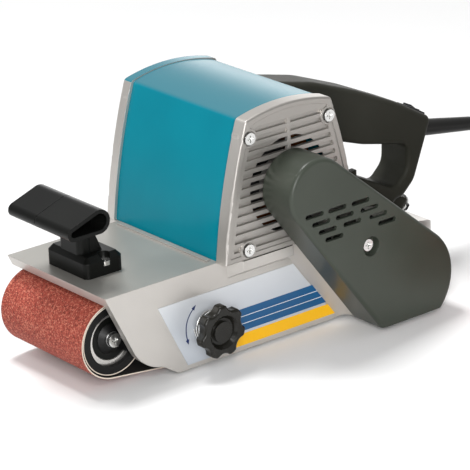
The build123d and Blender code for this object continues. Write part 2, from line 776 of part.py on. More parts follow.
# Deck, skirt, drive pad and rear hood in one casting
with BuildPart() as base_casting:
    front_step = deck_thick / math.tan(math.radians(deck_lean))
    with BuildSketch(side(deck_far_y)):
        with BuildLine():
            Polyline(
                (deck_front_x, deck_top),
                (hood_x, deck_top),
                (hood_x, deck_under),
                (deck_front_x + front_step, deck_under),
                close=True,
            )
        make_face()
    extrude(amount=deck_far_y - skirt_out_y)
    prism(lambda plane: hood_outline(plane, 0, hood_foot), skirt_out_y, deck_far_y)
    with BuildSketch(Plane.XY) as hood_corners:
        for edge_y, turn, radius in ((skirt_out_y, 1, hood_corner), (deck_far_y, -1, hood_far_corner)):
            with Locations((hood_end - radius / 2, edge_y + turn * radius / 2)):
                Rectangle(radius, radius)
            with Locations((hood_end - radius, edge_y + turn * radius)):
                Circle(radius, mode=Mode.SUBTRACT)
    extrude(amount=deck_top, mode=Mode.SUBTRACT)
    add(roller_room.part, mode=Mode.SUBTRACT)
    # Skirt on the drive side
    bend_x = deck_front_x + (deck_top - skirt_bend_height) / math.tan(math.radians(deck_lean))
    skirt_rear_x = hood_end - hood_corner
    skirt_toe_x = deck_front_x + skirt_toe_back
    skirt_heel_x = deck_front_x + skirt_heel_back
    tongue_x = motor_x - tongue_lead
    with BuildSketch(side(skirt_in_y)):
        with BuildLine():
            Line((deck_front_x, deck_top), (bend_x, skirt_bend_height))
            ThreePointArc(
                (bend_x, skirt_bend_height),
                (
                    (2 * bend_x + skirt_toe_x) / 3,
                    (skirt_bend_height + 2 * skirt_toe_height) / 3 + skirt_toe_bulge,
                ),
                (skirt_toe_x, skirt_toe_height),
            )
            Polyline(
                (skirt_toe_x, skirt_toe_height),
                (skirt_heel_x, skirt_foot),
                (drive_x - guard_large_radius, skirt_foot),
                (drive_x, guard_flat),
                (skirt_rear_x, hood_foot),
                (skirt_rear_x, deck_top - (skirt_rear_x - hood_x) * hood_normal[0] / hood_normal[1]),
                (hood_x, deck_top),
                (deck_front_x, deck_top),
            )
        make_face()
    extrude(amount=skirt_wall)
    # Drive pad with spreading walls, and the tongue under the end cover
    pad_sections = (
        guard_outline(side(pad_y), 0, guard_flat, deck_top),
        guard_outline(side(skirt_out_y), -pad_draft, guard_flat, deck_top),
    )
    loft(pad_sections, ruled=True)
    tongue_sections = []
    for plane_y, spread in ((pad_y, 0), (skirt_out_y, pad_draft)):
        with BuildSketch(side(plane_y), mode=Mode.PRIVATE) as tongue:
            low = deck_top - tongue_drop - spread
            with Locations(((tongue_x - spread + motor_x) / 2, (low + deck_top) / 2)):
                Rectangle(motor_x - tongue_x + spread, deck_top - low)
        tongue_sections.append(tongue.sketch)
    loft(tongue_sections, ruled=True)
    # Foot for the far end cover and the ledge before the motor
    mantle_foot_x = motor_x - mantle_foot_half
    block(
        (mantle_foot_x - shield_proud, motor_x + mantle_foot_half + shield_proud),
        (deck_far_y - deck_thick, shield_far_y),
        (deck_under, deck_top),
    )
    block(
        (mantle_foot_x - shield_proud - ledge_width, mantle_foot_x - shield_proud - belt_gap),
        (skirt_out_y + skirt_wall, deck_far_y - skirt_wall),
        (deck_top, deck_top + ledge_height),
    )
    # Bearing seat, shaft hole, bolt holes and tracking hole
    disc(drive_x, drive_z, bearing_radius + seat_clearance, pad_y, pad_y + bearing_width, Mode.SUBTRACT)
    disc(drive_x, drive_z, bearing_radius - shield_face, pad_y, skirt_in_y, Mode.SUBTRACT)
    disc(track_x, track_z, bush_radius + seat_clearance, skirt_out_y, skirt_in_y, Mode.SUBTRACT)
    disc(guard_screw_x, guard_screw_z, screw_radius + screw_clearance, pad_y, skirt_out_y, Mode.SUBTRACT)
    for bolt_place_x, bolt_place_z in frame_bolt_places:
        bolt_floor = skirt_out_y + frame_bolt_head_height
        disc(
            bolt_place_x,
            bolt_place_z,
            frame_bolt_head + screw_clearance,
            skirt_out_y,
            bolt_floor,
            Mode.SUBTRACT,
        )
        disc(
            bolt_place_x,
            bolt_place_z,
            frame_bolt_radius + screw_clearance,
            skirt_out_y,
            skirt_in_y,
            Mode.SUBTRACT,
        )
    # Stub under the handle's leg, with a seat for the bolt's washer
    stub_front_x = drive_x + leg_step + leg_round + handle_seat_gap
    stub_top = leg_foot - handle_seat_gap
    seat_lean = (math.sin(math.radians(bolt_fall)), math.cos(math.radians(bolt_fall)))
    with BuildSketch(side(handle_y + stub_half)):
        with BuildLine():
            Polyline(
                (stub_front_x, stub_top),
                (stub_front_x, hood_centre_z),
                (bolt_x - 2 * stub_half * seat_lean[0], bolt_z - 2 * stub_half * seat_lean[1]),
                (bolt_x + stub_half * seat_lean[0], bolt_z + stub_half * seat_lean[1]),
                (drive_x + leg_heel, stub_top),
                close=True,
            )
        make_face()
    extrude(amount=2 * stub_half)
    add(roller_room.part, mode=Mode.SUBTRACT)
    rod(bolt_plane, bolt_radius + screw_clearance, -bolt_length, 0, Mode.SUBTRACT)
    for screw_y in grip_screw_ys:
        post(grip_screw_x, screw_y, screw_radius + screw_clearance, deck_under, deck_top, Mode.SUBTRACT)


# Frame inside the belt, bolted to the skirt: it carries the sole and the far drive bearing
with BuildPart() as inner_frame:
    tail_end = track_x + tail_past_screw
    block((frame_front, frame_rear), (skirt_in_y, frame_far_y), (frame_foot, frame_top))
    for pocket in (
        (frame_front + frame_wall, frame_mid_x),
        (frame_mid_x + frame_mid_wall, frame_rear - frame_wall),
    ):
        block(pocket, (frame_near_in, frame_far_in), (frame_foot + frame_floor, frame_top), Mode.SUBTRACT)
    block(
        (frame_front, tail_end + slider_travel + arm_gap),
        (skirt_in_y, arm_gap - arm_in_y + arm_gap),
        (frame_foot, frame_top),
        Mode.SUBTRACT,
    )
    block(
        (frame_rear - frame_wall, drive_x),
        (frame_far_in, frame_far_y),
        (drive_z - frame_arm_half, drive_z + frame_arm_half),
    )
    disc(drive_x, drive_z, frame_boss_radius, frame_far_in, frame_far_in + bearing_width + frame_boss_lid)
    disc(
        drive_x,
        drive_z,
        bearing_radius + seat_clearance,
        frame_far_in,
        frame_far_in + bearing_width,
        Mode.SUBTRACT,
    )
    slider_bore = slider_radius + slider_clearance
    bar(frame_front, frame_mid_x + frame_mid_wall, 0, idler_z, slider_bore, Mode.SUBTRACT)
    for bolt_place_x, bolt_place_z in frame_bolt_places:
        disc(
            bolt_place_x,
            bolt_place_z,
            frame_bolt_radius + screw_clearance,
            skirt_in_y,
            skirt_out_y + frame_bolt_head_height + frame_bolt_length,
            Mode.SUBTRACT,
        )

with BuildPart() as frame_bolts:
    for bolt_place_x, bolt_place_z in frame_bolt_places:
        bolt_seat = skirt_out_y + frame_bolt_head_height
        disc(bolt_place_x, bolt_place_z, frame_bolt_head, skirt_out_y, bolt_seat)
        disc(bolt_place_x, bolt_place_z, frame_bolt_radius, bolt_seat, bolt_seat + frame_bolt_length)

# Sole: steel plate, cork and graphite, bent up at the nose
graphite_outer = nose_radius - belt_gap
with BuildPart() as graphite_pad:
    extrude(sole_layer(graphite_outer, graphite_thick), amount=2 * (belt_edge - sole_inset))

with BuildPart() as cork_pad:
    cork_outer = graphite_outer - graphite_thick
    extrude(sole_layer(cork_outer, cork_thick), amount=2 * (belt_edge - sole_inset))

with BuildPart() as sole_plate:
    plate_outer = graphite_outer - graphite_thick - cork_thick
    extrude(sole_layer(plate_outer, sole_thick), amount=2 * (belt_edge - sole_inset))

with BuildPart() as sanding_belt:
    prism(lambda plane: belt_outline(plane, belt_thick), -belt_edge, belt_edge)
    prism(lambda plane: belt_outline(plane, 0), -belt_edge, belt_edge, Mode.SUBTRACT)

# Motor housing
with BuildPart() as motor_mantle:
    prism(lambda plane: motor_outline(plane, 0, 0), skirt_out_y, mantle_far_y)
    prism(
        lambda plane: motor_outline(plane, -mantle_wall, -mantle_wall),
        skirt_out_y,
        mantle_far_y,
        Mode.SUBTRACT,
    )
    for end_y, inward in ((skirt_out_y, 1), (mantle_far_y, -1)):
        for x, z in shield_screw_places:
            disc(x, z, mantle_boss_radius, end_y, end_y + inward * screw_length)
            block(
                sorted((x, x + math.copysign(mantle_foot_half, x - motor_x))),
                sorted((end_y, end_y + inward * screw_length)),
                (z - mantle_wall / 2, z + mantle_wall / 2),
            )
    prism(lambda plane: motor_outline(plane, 0, 0), skirt_out_y, mantle_far_y, Mode.INTERSECT)
    for end_y, inward in ((skirt_out_y, 1), (mantle_far_y, -1)):
        for x, z in shield_screw_places:
            disc(x, z, screw_radius + screw_clearance, end_y, end_y + inward * screw_length, Mode.SUBTRACT)

near_bearing_out = pad_y + bearing_lid
near_bearing_in = near_bearing_out + bearing_width
far_bearing_out = shield_far_y - bearing_lid
far_bearing_in = far_bearing_out - bearing_width

with BuildPart() as near_end_cover:
    end_cover(near_end_cover, skirt_out_y, pad_y, near_bearing_in, near_bearing_out)
    disc(motor_x, motor_z, bearing_radius - shield_face, pad_y, near_bearing_out, Mode.SUBTRACT)

with BuildPart() as far_end_cover:
    end_cover(far_end_cover, mantle_far_y, shield_far_y, far_bearing_in, far_bearing_out)

with BuildPart() as end_cover_screws:
    for x, z in shield_screw_places:
        for face_y, outward in ((pad_y, -1), (shield_far_y, 1)):
            seat = face_y - outward * shield_sink
            cross_screw(x, z, seat, outward, screw_length, screw_head_radius, screw_head_height, screw_radius)

# Motor
stator_far_y = stator_near_y + stator_length
with BuildPart() as stator_core:
    disc(motor_x, motor_z, stator_radius, stator_near_y, stator_far_y)
    disc(motor_x, motor_z, rotor_radius + air_gap, stator_near_y, stator_far_y, Mode.SUBTRACT)

with BuildPart() as stator_windings:
    for start in (stator_near_y - winding_length, stator_far_y):
        end = start + winding_length
        disc(motor_x, motor_z, winding_outer, start, end)
        disc(motor_x, motor_z, winding_inner, start, end, Mode.SUBTRACT)

shaft_radius = bearing_bore - shaft_clearance
hub_bore = shaft_radius + seat_clearance
with BuildPart() as motor_shaft:
    disc(motor_x, motor_z, shaft_radius, pulley_near_y - nut_height, far_bearing_out)

with BuildPart() as rotor_core:
    disc(motor_x, motor_z, rotor_radius, stator_near_y, stator_far_y)
    disc(motor_x, motor_z, hub_bore, stator_near_y, stator_far_y, Mode.SUBTRACT)

fan_start = stator_far_y + winding_length + fan_gap
with BuildPart() as cooling_fan:
    disc(motor_x, motor_z, fan_hub_radius, fan_start, fan_start + fan_width)
    disc(motor_x, motor_z, fan_radius, fan_start, fan_start + fan_blade_thick)
    with Locations(Location((motor_x, fan_start + fan_width / 2, motor_z), (90, 0, 0))):
        with PolarLocations((fan_hub_radius + fan_radius) / 2 - fan_blade_thick, fan_blades):
            Box(fan_radius - fan_hub_radius, fan_blade_thick, fan_width)
    disc(motor_x, motor_z, hub_bore, fan_start, fan_start + fan_width, Mode.SUBTRACT)

with BuildPart() as motor_bearings:
    for start, end in ((near_bearing_in, near_bearing_out), (far_bearing_in, far_bearing_out)):
        disc(motor_x, motor_z, bearing_radius, start, end)
        disc(motor_x, motor_z, bearing_bore, start, end, Mode.SUBTRACT)


# Drive
rib_pitch = ribbed_belt_width / rib_count
rib_centres = [pulley_mid_y + (index - (rib_count - 1) / 2) * rib_pitch for index in range(rib_count)]


def pulley(x, z, radius):
    # Grooved rim between two flanges, on a plain hub
    disc(x, z, radius, pulley_near_y, pulley_far_y)
    for groove_y in rib_centres:
        half = rib_width / 2 + pulley_belt_gap
        disc(x, z, radius + rib_depth, groove_y - half, groove_y + half, Mode.SUBTRACT)
    disc(x, z, radius - rib_depth, pulley_near_y, pulley_far_y)
    flange_radius = radius + ribbed_belt_thick
    disc(x, z, flange_radius, pulley_near_y, pulley_near_y + pulley_flange)
    disc(x, z, flange_radius, pulley_far_y - pulley_flange, pulley_far_y)
    disc(x, z, hub_bore, pulley_near_y, pulley_far_y, Mode.SUBTRACT)


def shaft_nut(x, z):
    with BuildSketch(side(pulley_near_y)) as hexagon:
        with Locations((x, z)):
            RegularPolygon(nut_width / 2, 6, major_radius=False)
            Circle(hub_bore, mode=Mode.SUBTRACT)
    extrude(hexagon.sketch, amount=nut_height)


with BuildPart() as motor_pulley:
    pulley(motor_x, motor_z, motor_pulley_radius)

with BuildPart() as driven_pulley:
    pulley(drive_x, drive_z, drive_pulley_radius)

with BuildPart() as motor_pulley_nut:
    shaft_nut(motor_x, motor_z)

with BuildPart() as driven_pulley_nut:
    shaft_nut(drive_x, drive_z)

with BuildPart() as drive_belt:
    belt_near_y = pulley_mid_y - ribbed_belt_width / 2
    belt_far_y = pulley_mid_y + ribbed_belt_width / 2
    prism(lambda plane: drive_band(plane, pulley_belt_gap + ribbed_belt_thick), belt_near_y, belt_far_y)
    prism(lambda plane: drive_band(plane, pulley_belt_gap), belt_near_y, belt_far_y, Mode.SUBTRACT)
    for rib_y in rib_centres:
        with BuildSketch(side(rib_y + rib_width / 2)):
            add(drive_band(Plane.XY, pulley_belt_gap + ribbed_belt_thick / 2))
            add(drive_band(Plane.XY, pulley_belt_gap - rib_depth), mode=Mode.SUBTRACT)
        extrude(amount=rib_width)

guard_top = motor_z + 2 * guard_small_radius
guard_screw_seat = guard_y + guard_sink_depth
with BuildPart() as belt_guard:
    prism(lambda plane: guard_hull(plane, 0), pad_y, guard_y)
    fillet(belt_guard.faces().sort_by(Axis.Y)[0].edges(), guard_round)
    block(
        (drive_x - 2 * guard_large_radius, drive_x + 2 * guard_large_radius),
        (guard_y, pad_y),
        (drive_z - 2 * guard_large_radius, guard_flat),
        Mode.SUBTRACT,
    )
    prism(
        lambda plane: guard_outline(plane, guard_wall, guard_flat + guard_wall, guard_top),
        pad_y,
        guard_y + guard_wall,
        Mode.SUBTRACT,
    )
    disc(guard_screw_x, guard_screw_z, guard_boss_radius, pad_y, guard_y + guard_wall / 2)
    disc(guard_screw_x, guard_screw_z, guard_sink_radius, guard_y, guard_screw_seat, Mode.SUBTRACT)
    disc(guard_screw_x, guard_screw_z, screw_radius + screw_clearance, guard_screw_seat, pad_y, Mode.SUBTRACT)
    for ((start_x, start_z), (step_x, step_z)), count in zip(guard_slot_columns, guard_slot_counts):
        with BuildSketch(side(guard_y + guard_wall)):
            with Locations(*((motor_x + start_x + step_x * i, start_z + step_z * i) for i in range(count))):
                SlotOverall(guard_slot_length, guard_slot_width)
        extrude(amount=guard_wall, mode=Mode.SUBTRACT)

with BuildPart() as guard_screw:
    cross_screw(
        guard_screw_x,
        guard_screw_z,
        guard_screw_seat,
        -1,
        skirt_out_y - guard_screw_seat,
        screw_head_radius,
        screw_head_height,
        screw_radius,
    )

# Drive roller
drive_core_radius = drive_radius - drive_cover_wall
with BuildPart() as drive_shaft:
    disc(drive_x, drive_z, shaft_radius, pulley_near_y - nut_height, frame_far_in + bearing_width)

with BuildPart() as drive_roller_core:
    disc(drive_x, drive_z, drive_core_radius, -roller_end, roller_end)
    for end in (-roller_end, roller_end):
        inner_end = end - math.copysign(drive_recess_depth, end)
        disc(drive_x, drive_z, drive_core_radius - idler_rim_wall, end, inner_end, Mode.SUBTRACT)
        disc(drive_x, drive_z, drive_hub_radius, end, inner_end)
    disc(drive_x, drive_z, hub_bore, -roller_end, roller_end, Mode.SUBTRACT)

with BuildPart() as drive_roller_cover:
    disc(drive_x, drive_z, drive_radius, -roller_end, roller_end)
    disc(drive_x, drive_z, drive_core_radius + seat_clearance, -roller_end, roller_end, Mode.SUBTRACT)

with BuildPart() as drive_bearings:
    for start in (pad_y, frame_far_in):
        disc(drive_x, drive_z, bearing_radius, start, start + bearing_width)
        disc(drive_x, drive_z, bearing_bore, start, start + bearing_width, Mode.SUBTRACT)

# Front roller on its fixed axle
idler_core_radius = idler_radius - idler_tyre_wall
idler_recess_radius = idler_core_radius - idler_rim_wall
idler_rim_y = roller_end - idler_rim_recess
idler_seat_y = idler_rim_y - idler_dish
hub_in_y = idler_seat_y + cap_thick + hub_gap
hub_out_y = hub_in_y + hub_thick
axle_radius = idler_bearing_bore - shaft_clearance
with BuildPart() as idler_axle:
    disc(idler_x, idler_z, axle_radius, -hub_out_y, hub_out_y)
    for end in (-hub_out_y, hub_out_y):
        hole_end = end - math.copysign(screw_length, end)
        disc(idler_x, idler_z, screw_radius + screw_clearance, end, hole_end, Mode.SUBTRACT)

with BuildPart() as hub_screws:
    for outward in (-1, 1):
        cross_screw(
            idler_x,
            idler_z,
            outward * hub_out_y,
            outward,
            screw_length,
            hub_screw_radius,
            hub_screw_height,
            screw_radius,
        )

with BuildPart() as idler_core:
    disc(idler_x, idler_z, idler_core_radius, -idler_rim_y, idler_rim_y)
    for outward in (-1, 1):
        end = outward * idler_rim_y
        seat = outward * idler_seat_y
        disc(idler_x, idler_z, idler_recess_radius, end, seat, Mode.SUBTRACT)
        disc(
            idler_x,
            idler_z,
            idler_bearing_radius + seat_clearance,
            seat,
            seat - outward * idler_bearing_width,
            Mode.SUBTRACT,
        )
    disc(idler_x, idler_z, idler_bearing_radius - idler_rim_wall, -roller_end, roller_end, Mode.SUBTRACT)

with BuildPart() as idler_tyre:
    with BuildSketch(Plane((idler_x, 0, idler_z))):
        with BuildLine():
            edge_radius = idler_radius - idler_crown
            bond_radius = idler_core_radius + seat_clearance
            ThreePointArc((edge_radius, -roller_end), (idler_radius, 0), (edge_radius, roller_end))
            Polyline(
                (edge_radius, roller_end),
                (bond_radius, roller_end),
                (bond_radius, -roller_end),
                (edge_radius, -roller_end),
            )
        make_face()
    revolve(axis=Axis((idler_x, 0, idler_z), (0, 1, 0)))

with BuildPart() as idler_bearings:
    for outward in (-1, 1):
        seat = outward * idler_seat_y
        disc(idler_x, idler_z, idler_bearing_radius, seat, seat - outward * idler_bearing_width)
        disc(idler_x, idler_z, idler_bearing_bore, seat, seat - outward * idler_bearing_width, Mode.SUBTRACT)

with BuildPart() as dust_caps:
    for outward in (-1, 1):
        seat = outward * idler_seat_y
        top = seat + outward * cap_thick
        disc(idler_x, idler_z, idler_recess_radius - cap_gap, seat, top)
        disc(idler_x, idler_z, idler_bearing_bore + cap_gap, seat, top, Mode.SUBTRACT)

# Carrier of the front roller: a sprung slider, and a fork that swivels on it
with BuildPart() as tension_slider:
    tongue_back = yoke_back + tongue_past_yoke
    block(
        (yoke_front - tongue_past_pin, tongue_back),
        (-tongue_half_width, tongue_half_width),
        (idler_z - tongue_half_height, idler_z + tongue_half_height),
    )
    bar(tongue_back, slider_back, 0, idler_z, slider_radius)
    bar(collar_x, collar_x + collar_thick, 0, idler_z, collar_radius)
    post(pin_x, 0, pin_radius + seat_clearance, yoke_foot, yoke_top, Mode.SUBTRACT)

with BuildPart() as fork_pin:
    post(pin_x, 0, pin_radius, yoke_foot, yoke_top)

with BuildPart() as tracking_fork:
    block((yoke_front, yoke_back), (-arm_out_y, arm_out_y), (yoke_foot, yoke_top))
    slot_half = tongue_half_width + tongue_side_room
    slot_rise = tongue_half_height + tongue_clearance
    slot_span = (idler_z - slot_rise, idler_z + slot_rise)
    block((yoke_front, yoke_back), (-slot_half, slot_half), slot_span, Mode.SUBTRACT)
    for outward in (-1, 1):
        arm_span = sorted((outward * arm_in_y, outward * arm_out_y))
        arm_rise = (idler_z - arm_half_height, idler_z + arm_half_height)
        hub_place = (idler_x, outward * (hub_in_y + hub_out_y) / 2, idler_z)
        with Locations(Location(hub_place, (-90 * outward, 0, 0))):
            Cone(hub_base_radius, hub_top_radius, hub_thick)
        web_span = sorted((outward * (idler_rim_y + hub_gap), outward * arm_out_y))
        block((idler_x + arm_root, idler_x + arm_root + arm_web), web_span, arm_rise)
        block((idler_x + arm_root, yoke_front), arm_span, arm_rise)
    block(
        (yoke_back, track_x + tail_past_screw),
        (-arm_out_y, -arm_in_y),
        (track_z - tail_half_height, track_z + tail_half_height),
    )
    disc(idler_x, idler_z, axle_radius + seat_clearance, -arm_out_y, arm_out_y, Mode.SUBTRACT)
    post(pin_x, 0, pin_radius + pin_clearance, yoke_foot, yoke_top, Mode.SUBTRACT)


def spring_line(start, along, across, radius, length, turns):
    # Helix round the axis "along" that begins on the side "across"
    along = Vector(*along)
    across = Vector(*across)
    upright = along.cross(across)
    rise = length / (2 * math.pi * turns)
    points = []
    tangents = []
    for quarter in range(4 * turns + 1):
        angle = quarter * math.pi / 2
        out = across * math.cos(angle) + upright * math.sin(angle)
        turn = upright * math.cos(angle) - across * math.sin(angle)
        points.append(tuple(Vector(*start) + out * radius + along * (rise * angle)))
        tangents.append(tuple(turn * radius + along * rise))
    return points, tangents


with BuildPart() as tension_spring:
    spring_start = collar_x + collar_thick + tension_wire / 2 + spring_gap
    spring_span = frame_mid_x - spring_start - tension_wire / 2 - spring_gap
    points, tangents = spring_line(
        (spring_start, 0, idler_z), (1, 0, 0), (0, 0, 1), tension_coil_radius, spring_span, tension_turns
    )
    with BuildLine() as tension_line:
        biarcs(points, tangents)
    with BuildSketch(Plane(points[0], z_dir=tangents[0])):
        Circle(tension_wire / 2)
    sweep(path=tension_line.wires()[0])
least_gap(tension_line.wires()[0], tension_wire, "tension spring")

# Tracking knob with its screw, bush and spring
with BuildPart() as tracking_bush:
    disc(track_x, track_z, bush_radius, skirt_in_y, skirt_out_y)
    disc(track_x, track_z, track_screw_radius + slider_clearance, skirt_in_y, skirt_out_y, Mode.SUBTRACT)

knob_face_y = knob_back_y - knob_depth
with BuildPart() as tracking_screw:
    disc(track_x, track_z, track_screw_radius, -arm_out_y - track_tip_gap, knob_face_y + knob_lid)

with BuildPart() as tracking_knob:
    with BuildSketch(side(knob_back_y)) as knob_outline:
        with Locations((track_x, track_z)):
            Circle(knob_radius)
            with PolarLocations(knob_waist + knob_flute_radius, knob_flutes, knob_turn):
                Circle(knob_flute_radius, mode=Mode.SUBTRACT)
        fillet(knob_outline.vertices(), knob_lobe_radius)
    extrude(amount=knob_depth)
    fillet(tracking_knob.faces().sort_by(Axis.Y)[0].edges(), knob_edge_round)
    disc(track_x, track_z, knob_hub_radius, knob_back_y + knob_hub_length, knob_back_y)
    with Locations(Location((track_x, knob_face_y + knob_recess_depth / 2, track_z), (90, 0, 0))):
        Cone(knob_recess_floor, knob_recess_outer, knob_recess_depth, mode=Mode.SUBTRACT)
    disc(track_x, track_z, knob_recess_inner, knob_face_y + knob_dish_depth, knob_face_y + knob_recess_depth)
    disc(
        track_x,
        track_z,
        track_screw_radius + seat_clearance,
        knob_back_y + knob_hub_length,
        knob_face_y + knob_lid,
        Mode.SUBTRACT,
    )

with BuildPart() as tracking_spring:
    spring_start = skirt_out_y - plate_thick - track_wire / 2 - spring_gap
    spring_span = spring_start - knob_back_y - track_wire / 2 - spring_gap
    points, tangents = spring_line(
        (track_x, spring_start, track_z), (0, -1, 0), (-1, 0, 0), track_coil_radius, spring_span, track_turns
    )
    with BuildLine() as track_line:
        biarcs(points, tangents)
    with BuildSketch(Plane(points[0], z_dir=tangents[0])):
        Circle(track_wire / 2)
    sweep(path=track_line.wires()[0])
least_gap(track_line.wires()[0], track_wire, "tracking spring")


def pad_edge_x(z, spread):
    # Where the drive pad's leading wall stands at a height
    reach = math.hypot(drive_x - motor_x, drive_z - motor_z)
    turn = math.acos((guard_small_radius - guard_large_radius) / reach)
    heading = math.atan2(drive_z - motor_z, drive_x - motor_x) - turn
    offset_along = motor_x * math.cos(heading) + motor_z * math.sin(heading) + guard_small_radius + spread
    return (offset_along - z * math.sin(heading)) / math.cos(heading)


with BuildPart() as rating_plate:
    with BuildSketch(side(skirt_out_y)):
        with BuildLine():
            Polyline(
                (deck_front_x + plate_top_back, plate_top),
                (deck_front_x + plate_foot_back, plate_foot),
                (pad_edge_x(plate_foot, pad_draft + plate_gap), plate_foot),
                (pad_edge_x(plate_top, pad_draft + plate_gap), plate_top),
                close=True,
            )
        make_face()
        with Locations((track_x, track_z)):
            Circle(bush_radius + plate_gap, mode=Mode.SUBTRACT)
    extrude(amount=plate_thick)

# Front grip: hollow bar on a neck and a foot
grip_mid_y = (grip_foot_near + grip_foot_far) / 2
grip_foot_top = deck_top + grip_foot_height
with BuildPart() as front_grip:
    grip_foot_rear = grip_foot_x + grip_foot_length
    block((grip_foot_x, grip_foot_rear), (grip_foot_near, grip_foot_far), (deck_top, grip_foot_top))
    fillet(front_grip.edges().filter_by(Axis.Z), grip_foot_round)
    chamfer(front_grip.faces().sort_by(Axis.Z)[-1].edges(), grip_foot_bevel)
    neck_front = grip_foot_x + grip_neck_back
    neck_rear = neck_front + grip_neck_length
    with BuildSketch(Plane((0, 0, grip_foot_top - grip_foot_bevel))):
        with Locations(((neck_front + neck_rear) / 2, grip_mid_y)):
            RectangleRounded(grip_neck_length, grip_neck_width, grip_foot_round)
    extrude(amount=grip_heel_z - grip_foot_top + grip_foot_bevel)
    with BuildSketch(side(grip_mid_y + grip_neck_width / 2)):
        with BuildLine():
            Polyline(
                (neck_rear - grip_wall, grip_heel_z - grip_heel_radius),
                (neck_rear + grip_neck_flare, grip_foot_top - grip_wall),
                (neck_rear - grip_wall, grip_foot_top - grip_wall),
                close=True,
            )
        make_face()
    extrude(amount=grip_neck_width)
    grip_circles = (
        (grip_foot_x - grip_tip_lead, grip_tip_z, grip_tip_radius),
        (grip_foot_x + grip_heel_back, grip_heel_z, grip_heel_radius),
    )
    bore_circles = [(x, z, radius - grip_wall) for x, z, radius in grip_circles]
    prism(lambda plane: hull(plane, grip_circles), grip_bar_near, grip_bar_far)
    prism(lambda plane: hull(plane, bore_circles), grip_bar_near, grip_bar_far, Mode.SUBTRACT)
    with BuildSketch(side(grip_mid_y + grip_seam_width / 2)):
        add(hull(Plane.XY, grip_circles))
        add(hull(Plane.XY, [(x, z, r - grip_seam_depth) for x, z, r in grip_circles]), mode=Mode.SUBTRACT)
    extrude(amount=grip_seam_width, mode=Mode.SUBTRACT)
    for screw_y in grip_screw_ys:
        sink_radius = screw_head_radius + screw_clearance
        post(grip_screw_x, screw_y, sink_radius, grip_screw_seat, grip_foot_top, Mode.SUBTRACT)
        post(grip_screw_x, screw_y, screw_radius + screw_clearance, deck_top, grip_foot_top, Mode.SUBTRACT)

with BuildPart() as grip_screws:
    for screw_y in grip_screw_ys:
        post(grip_screw_x, screw_y, screw_head_radius, grip_screw_seat, grip_screw_seat + screw_head_height)
        post(grip_screw_x, screw_y, screw_radius, deck_under, grip_screw_seat)
        recess = (grip_screw_seat + screw_head_height - cross_depth, grip_screw_seat + screw_head_height)
        for along, across in ((cross_length / 2, cross_width / 2), (cross_width / 2, cross_length / 2)):
            block(
                (grip_screw_x - along, grip_screw_x + along),
                (screw_y - across, screw_y + across),
                recess,
                Mode.SUBTRACT,
            )


def handle_cavity(plane):
    with BuildSketch(plane) as cavity:
        add(loop_face(Plane.XY, handle_outline))
        offset(amount=-handle_wall, kind=Kind.INTERSECTION, mode=Mode.REPLACE)
        with BuildSketch(mode=Mode.SUBTRACT):
            add(loop_face(Plane.XY, handle_loop))
            offset(amount=handle_wall, kind=Kind.INTERSECTION, mode=Mode.REPLACE)
    return cavity.sketch


# Main handle: a hollow shell on the mantle, the deck and the hood, parted down its middle
with BuildPart() as handle_shell:
    prism(lambda plane: loop_face(plane, handle_outline), handle_near_y, handle_far_y)
    rims = [handle_shell.faces().sort_by(Axis.Y)[index] for index in (0, -1)]
    fillet([edge for rim in rims for edge in rim.edges()], handle_round)
    prism(lambda plane: loop_face(plane, handle_loop), handle_near_y, handle_far_y, Mode.SUBTRACT)
    rims = [handle_shell.faces().sort_by(Axis.Y)[index] for index in (0, -1)]
    fillet([edge for rim in rims for edge in rim.inner_wires()[0].edges()], handle_loop_round)
    prism(handle_cavity, handle_near_y + handle_wall, handle_far_y - handle_wall, Mode.SUBTRACT)
    for x, z in handle_screw_places:
        seat = handle_far_y - handle_screw_sink
        disc(x, z, handle_boss_radius, handle_near_y + handle_wall / 2, handle_far_y - handle_wall / 2)
        disc(x, z, handle_screw_radius + screw_clearance, seat, handle_far_y, Mode.SUBTRACT)
        disc(x, z, handle_screw_shank + screw_clearance, seat - handle_screw_length, seat, Mode.SUBTRACT)
    block(
        (lug_x - lug_width / 2, lug_x + lug_width / 2),
        (handle_near_y - lug_proud, handle_near_y + handle_wall),
        (lug_z - lug_height, lug_z),
    )
    rod(relief_plane, relief_start_radius + relief_clearance, -relief_root, relief_root, Mode.SUBTRACT)
    rod(bolt_plane, bolt_radius + screw_clearance, -bolt_length, bolt_length, Mode.SUBTRACT)
    with Locations(switch_plane):
        Box(
            switch_length + 2 * relief_clearance,
            switch_breadth + 2 * relief_clearance,
            2 * switch_depth,
            mode=Mode.SUBTRACT,
        )
    for seat_outline in (
        lambda plane: motor_outline(plane, handle_seat_gap, handle_seat_gap),
        lambda plane: hood_outline(plane, -handle_seat_gap, hood_foot),
    ):
        prism(seat_outline, handle_near_y, handle_far_y, Mode.SUBTRACT)
    deck_room = (hood_foot, deck_top + handle_seat_gap)
    block((motor_x, hood_x), (handle_near_y, handle_far_y), deck_room, Mode.SUBTRACT)

handle_reach = (0, hood_end + wheelbase)
with BuildPart() as handle_near:
    add(handle_shell.part)
    block(handle_reach, (handle_near_y - handle_width, handle_y), (0, mantle_apex_z), Mode.INTERSECT)

with BuildPart() as handle_far:
    add(handle_shell.part)
    block(handle_reach, (handle_y, handle_far_y + handle_width), (0, mantle_apex_z), Mode.INTERSECT)

with BuildPart() as handle_screws:
    for x, z in handle_screw_places:
        cross_screw(
            x,
            z,
            handle_far_y - handle_screw_sink,
            1,
            handle_screw_length,
            handle_screw_radius,
            handle_screw_height,
            handle_screw_shank,
        )

with BuildPart() as handle_washer:
    rod(bolt_plane, washer_radius, 0, washer_thick)
    rod(bolt_plane, bolt_radius + screw_clearance, 0, washer_thick, Mode.SUBTRACT)

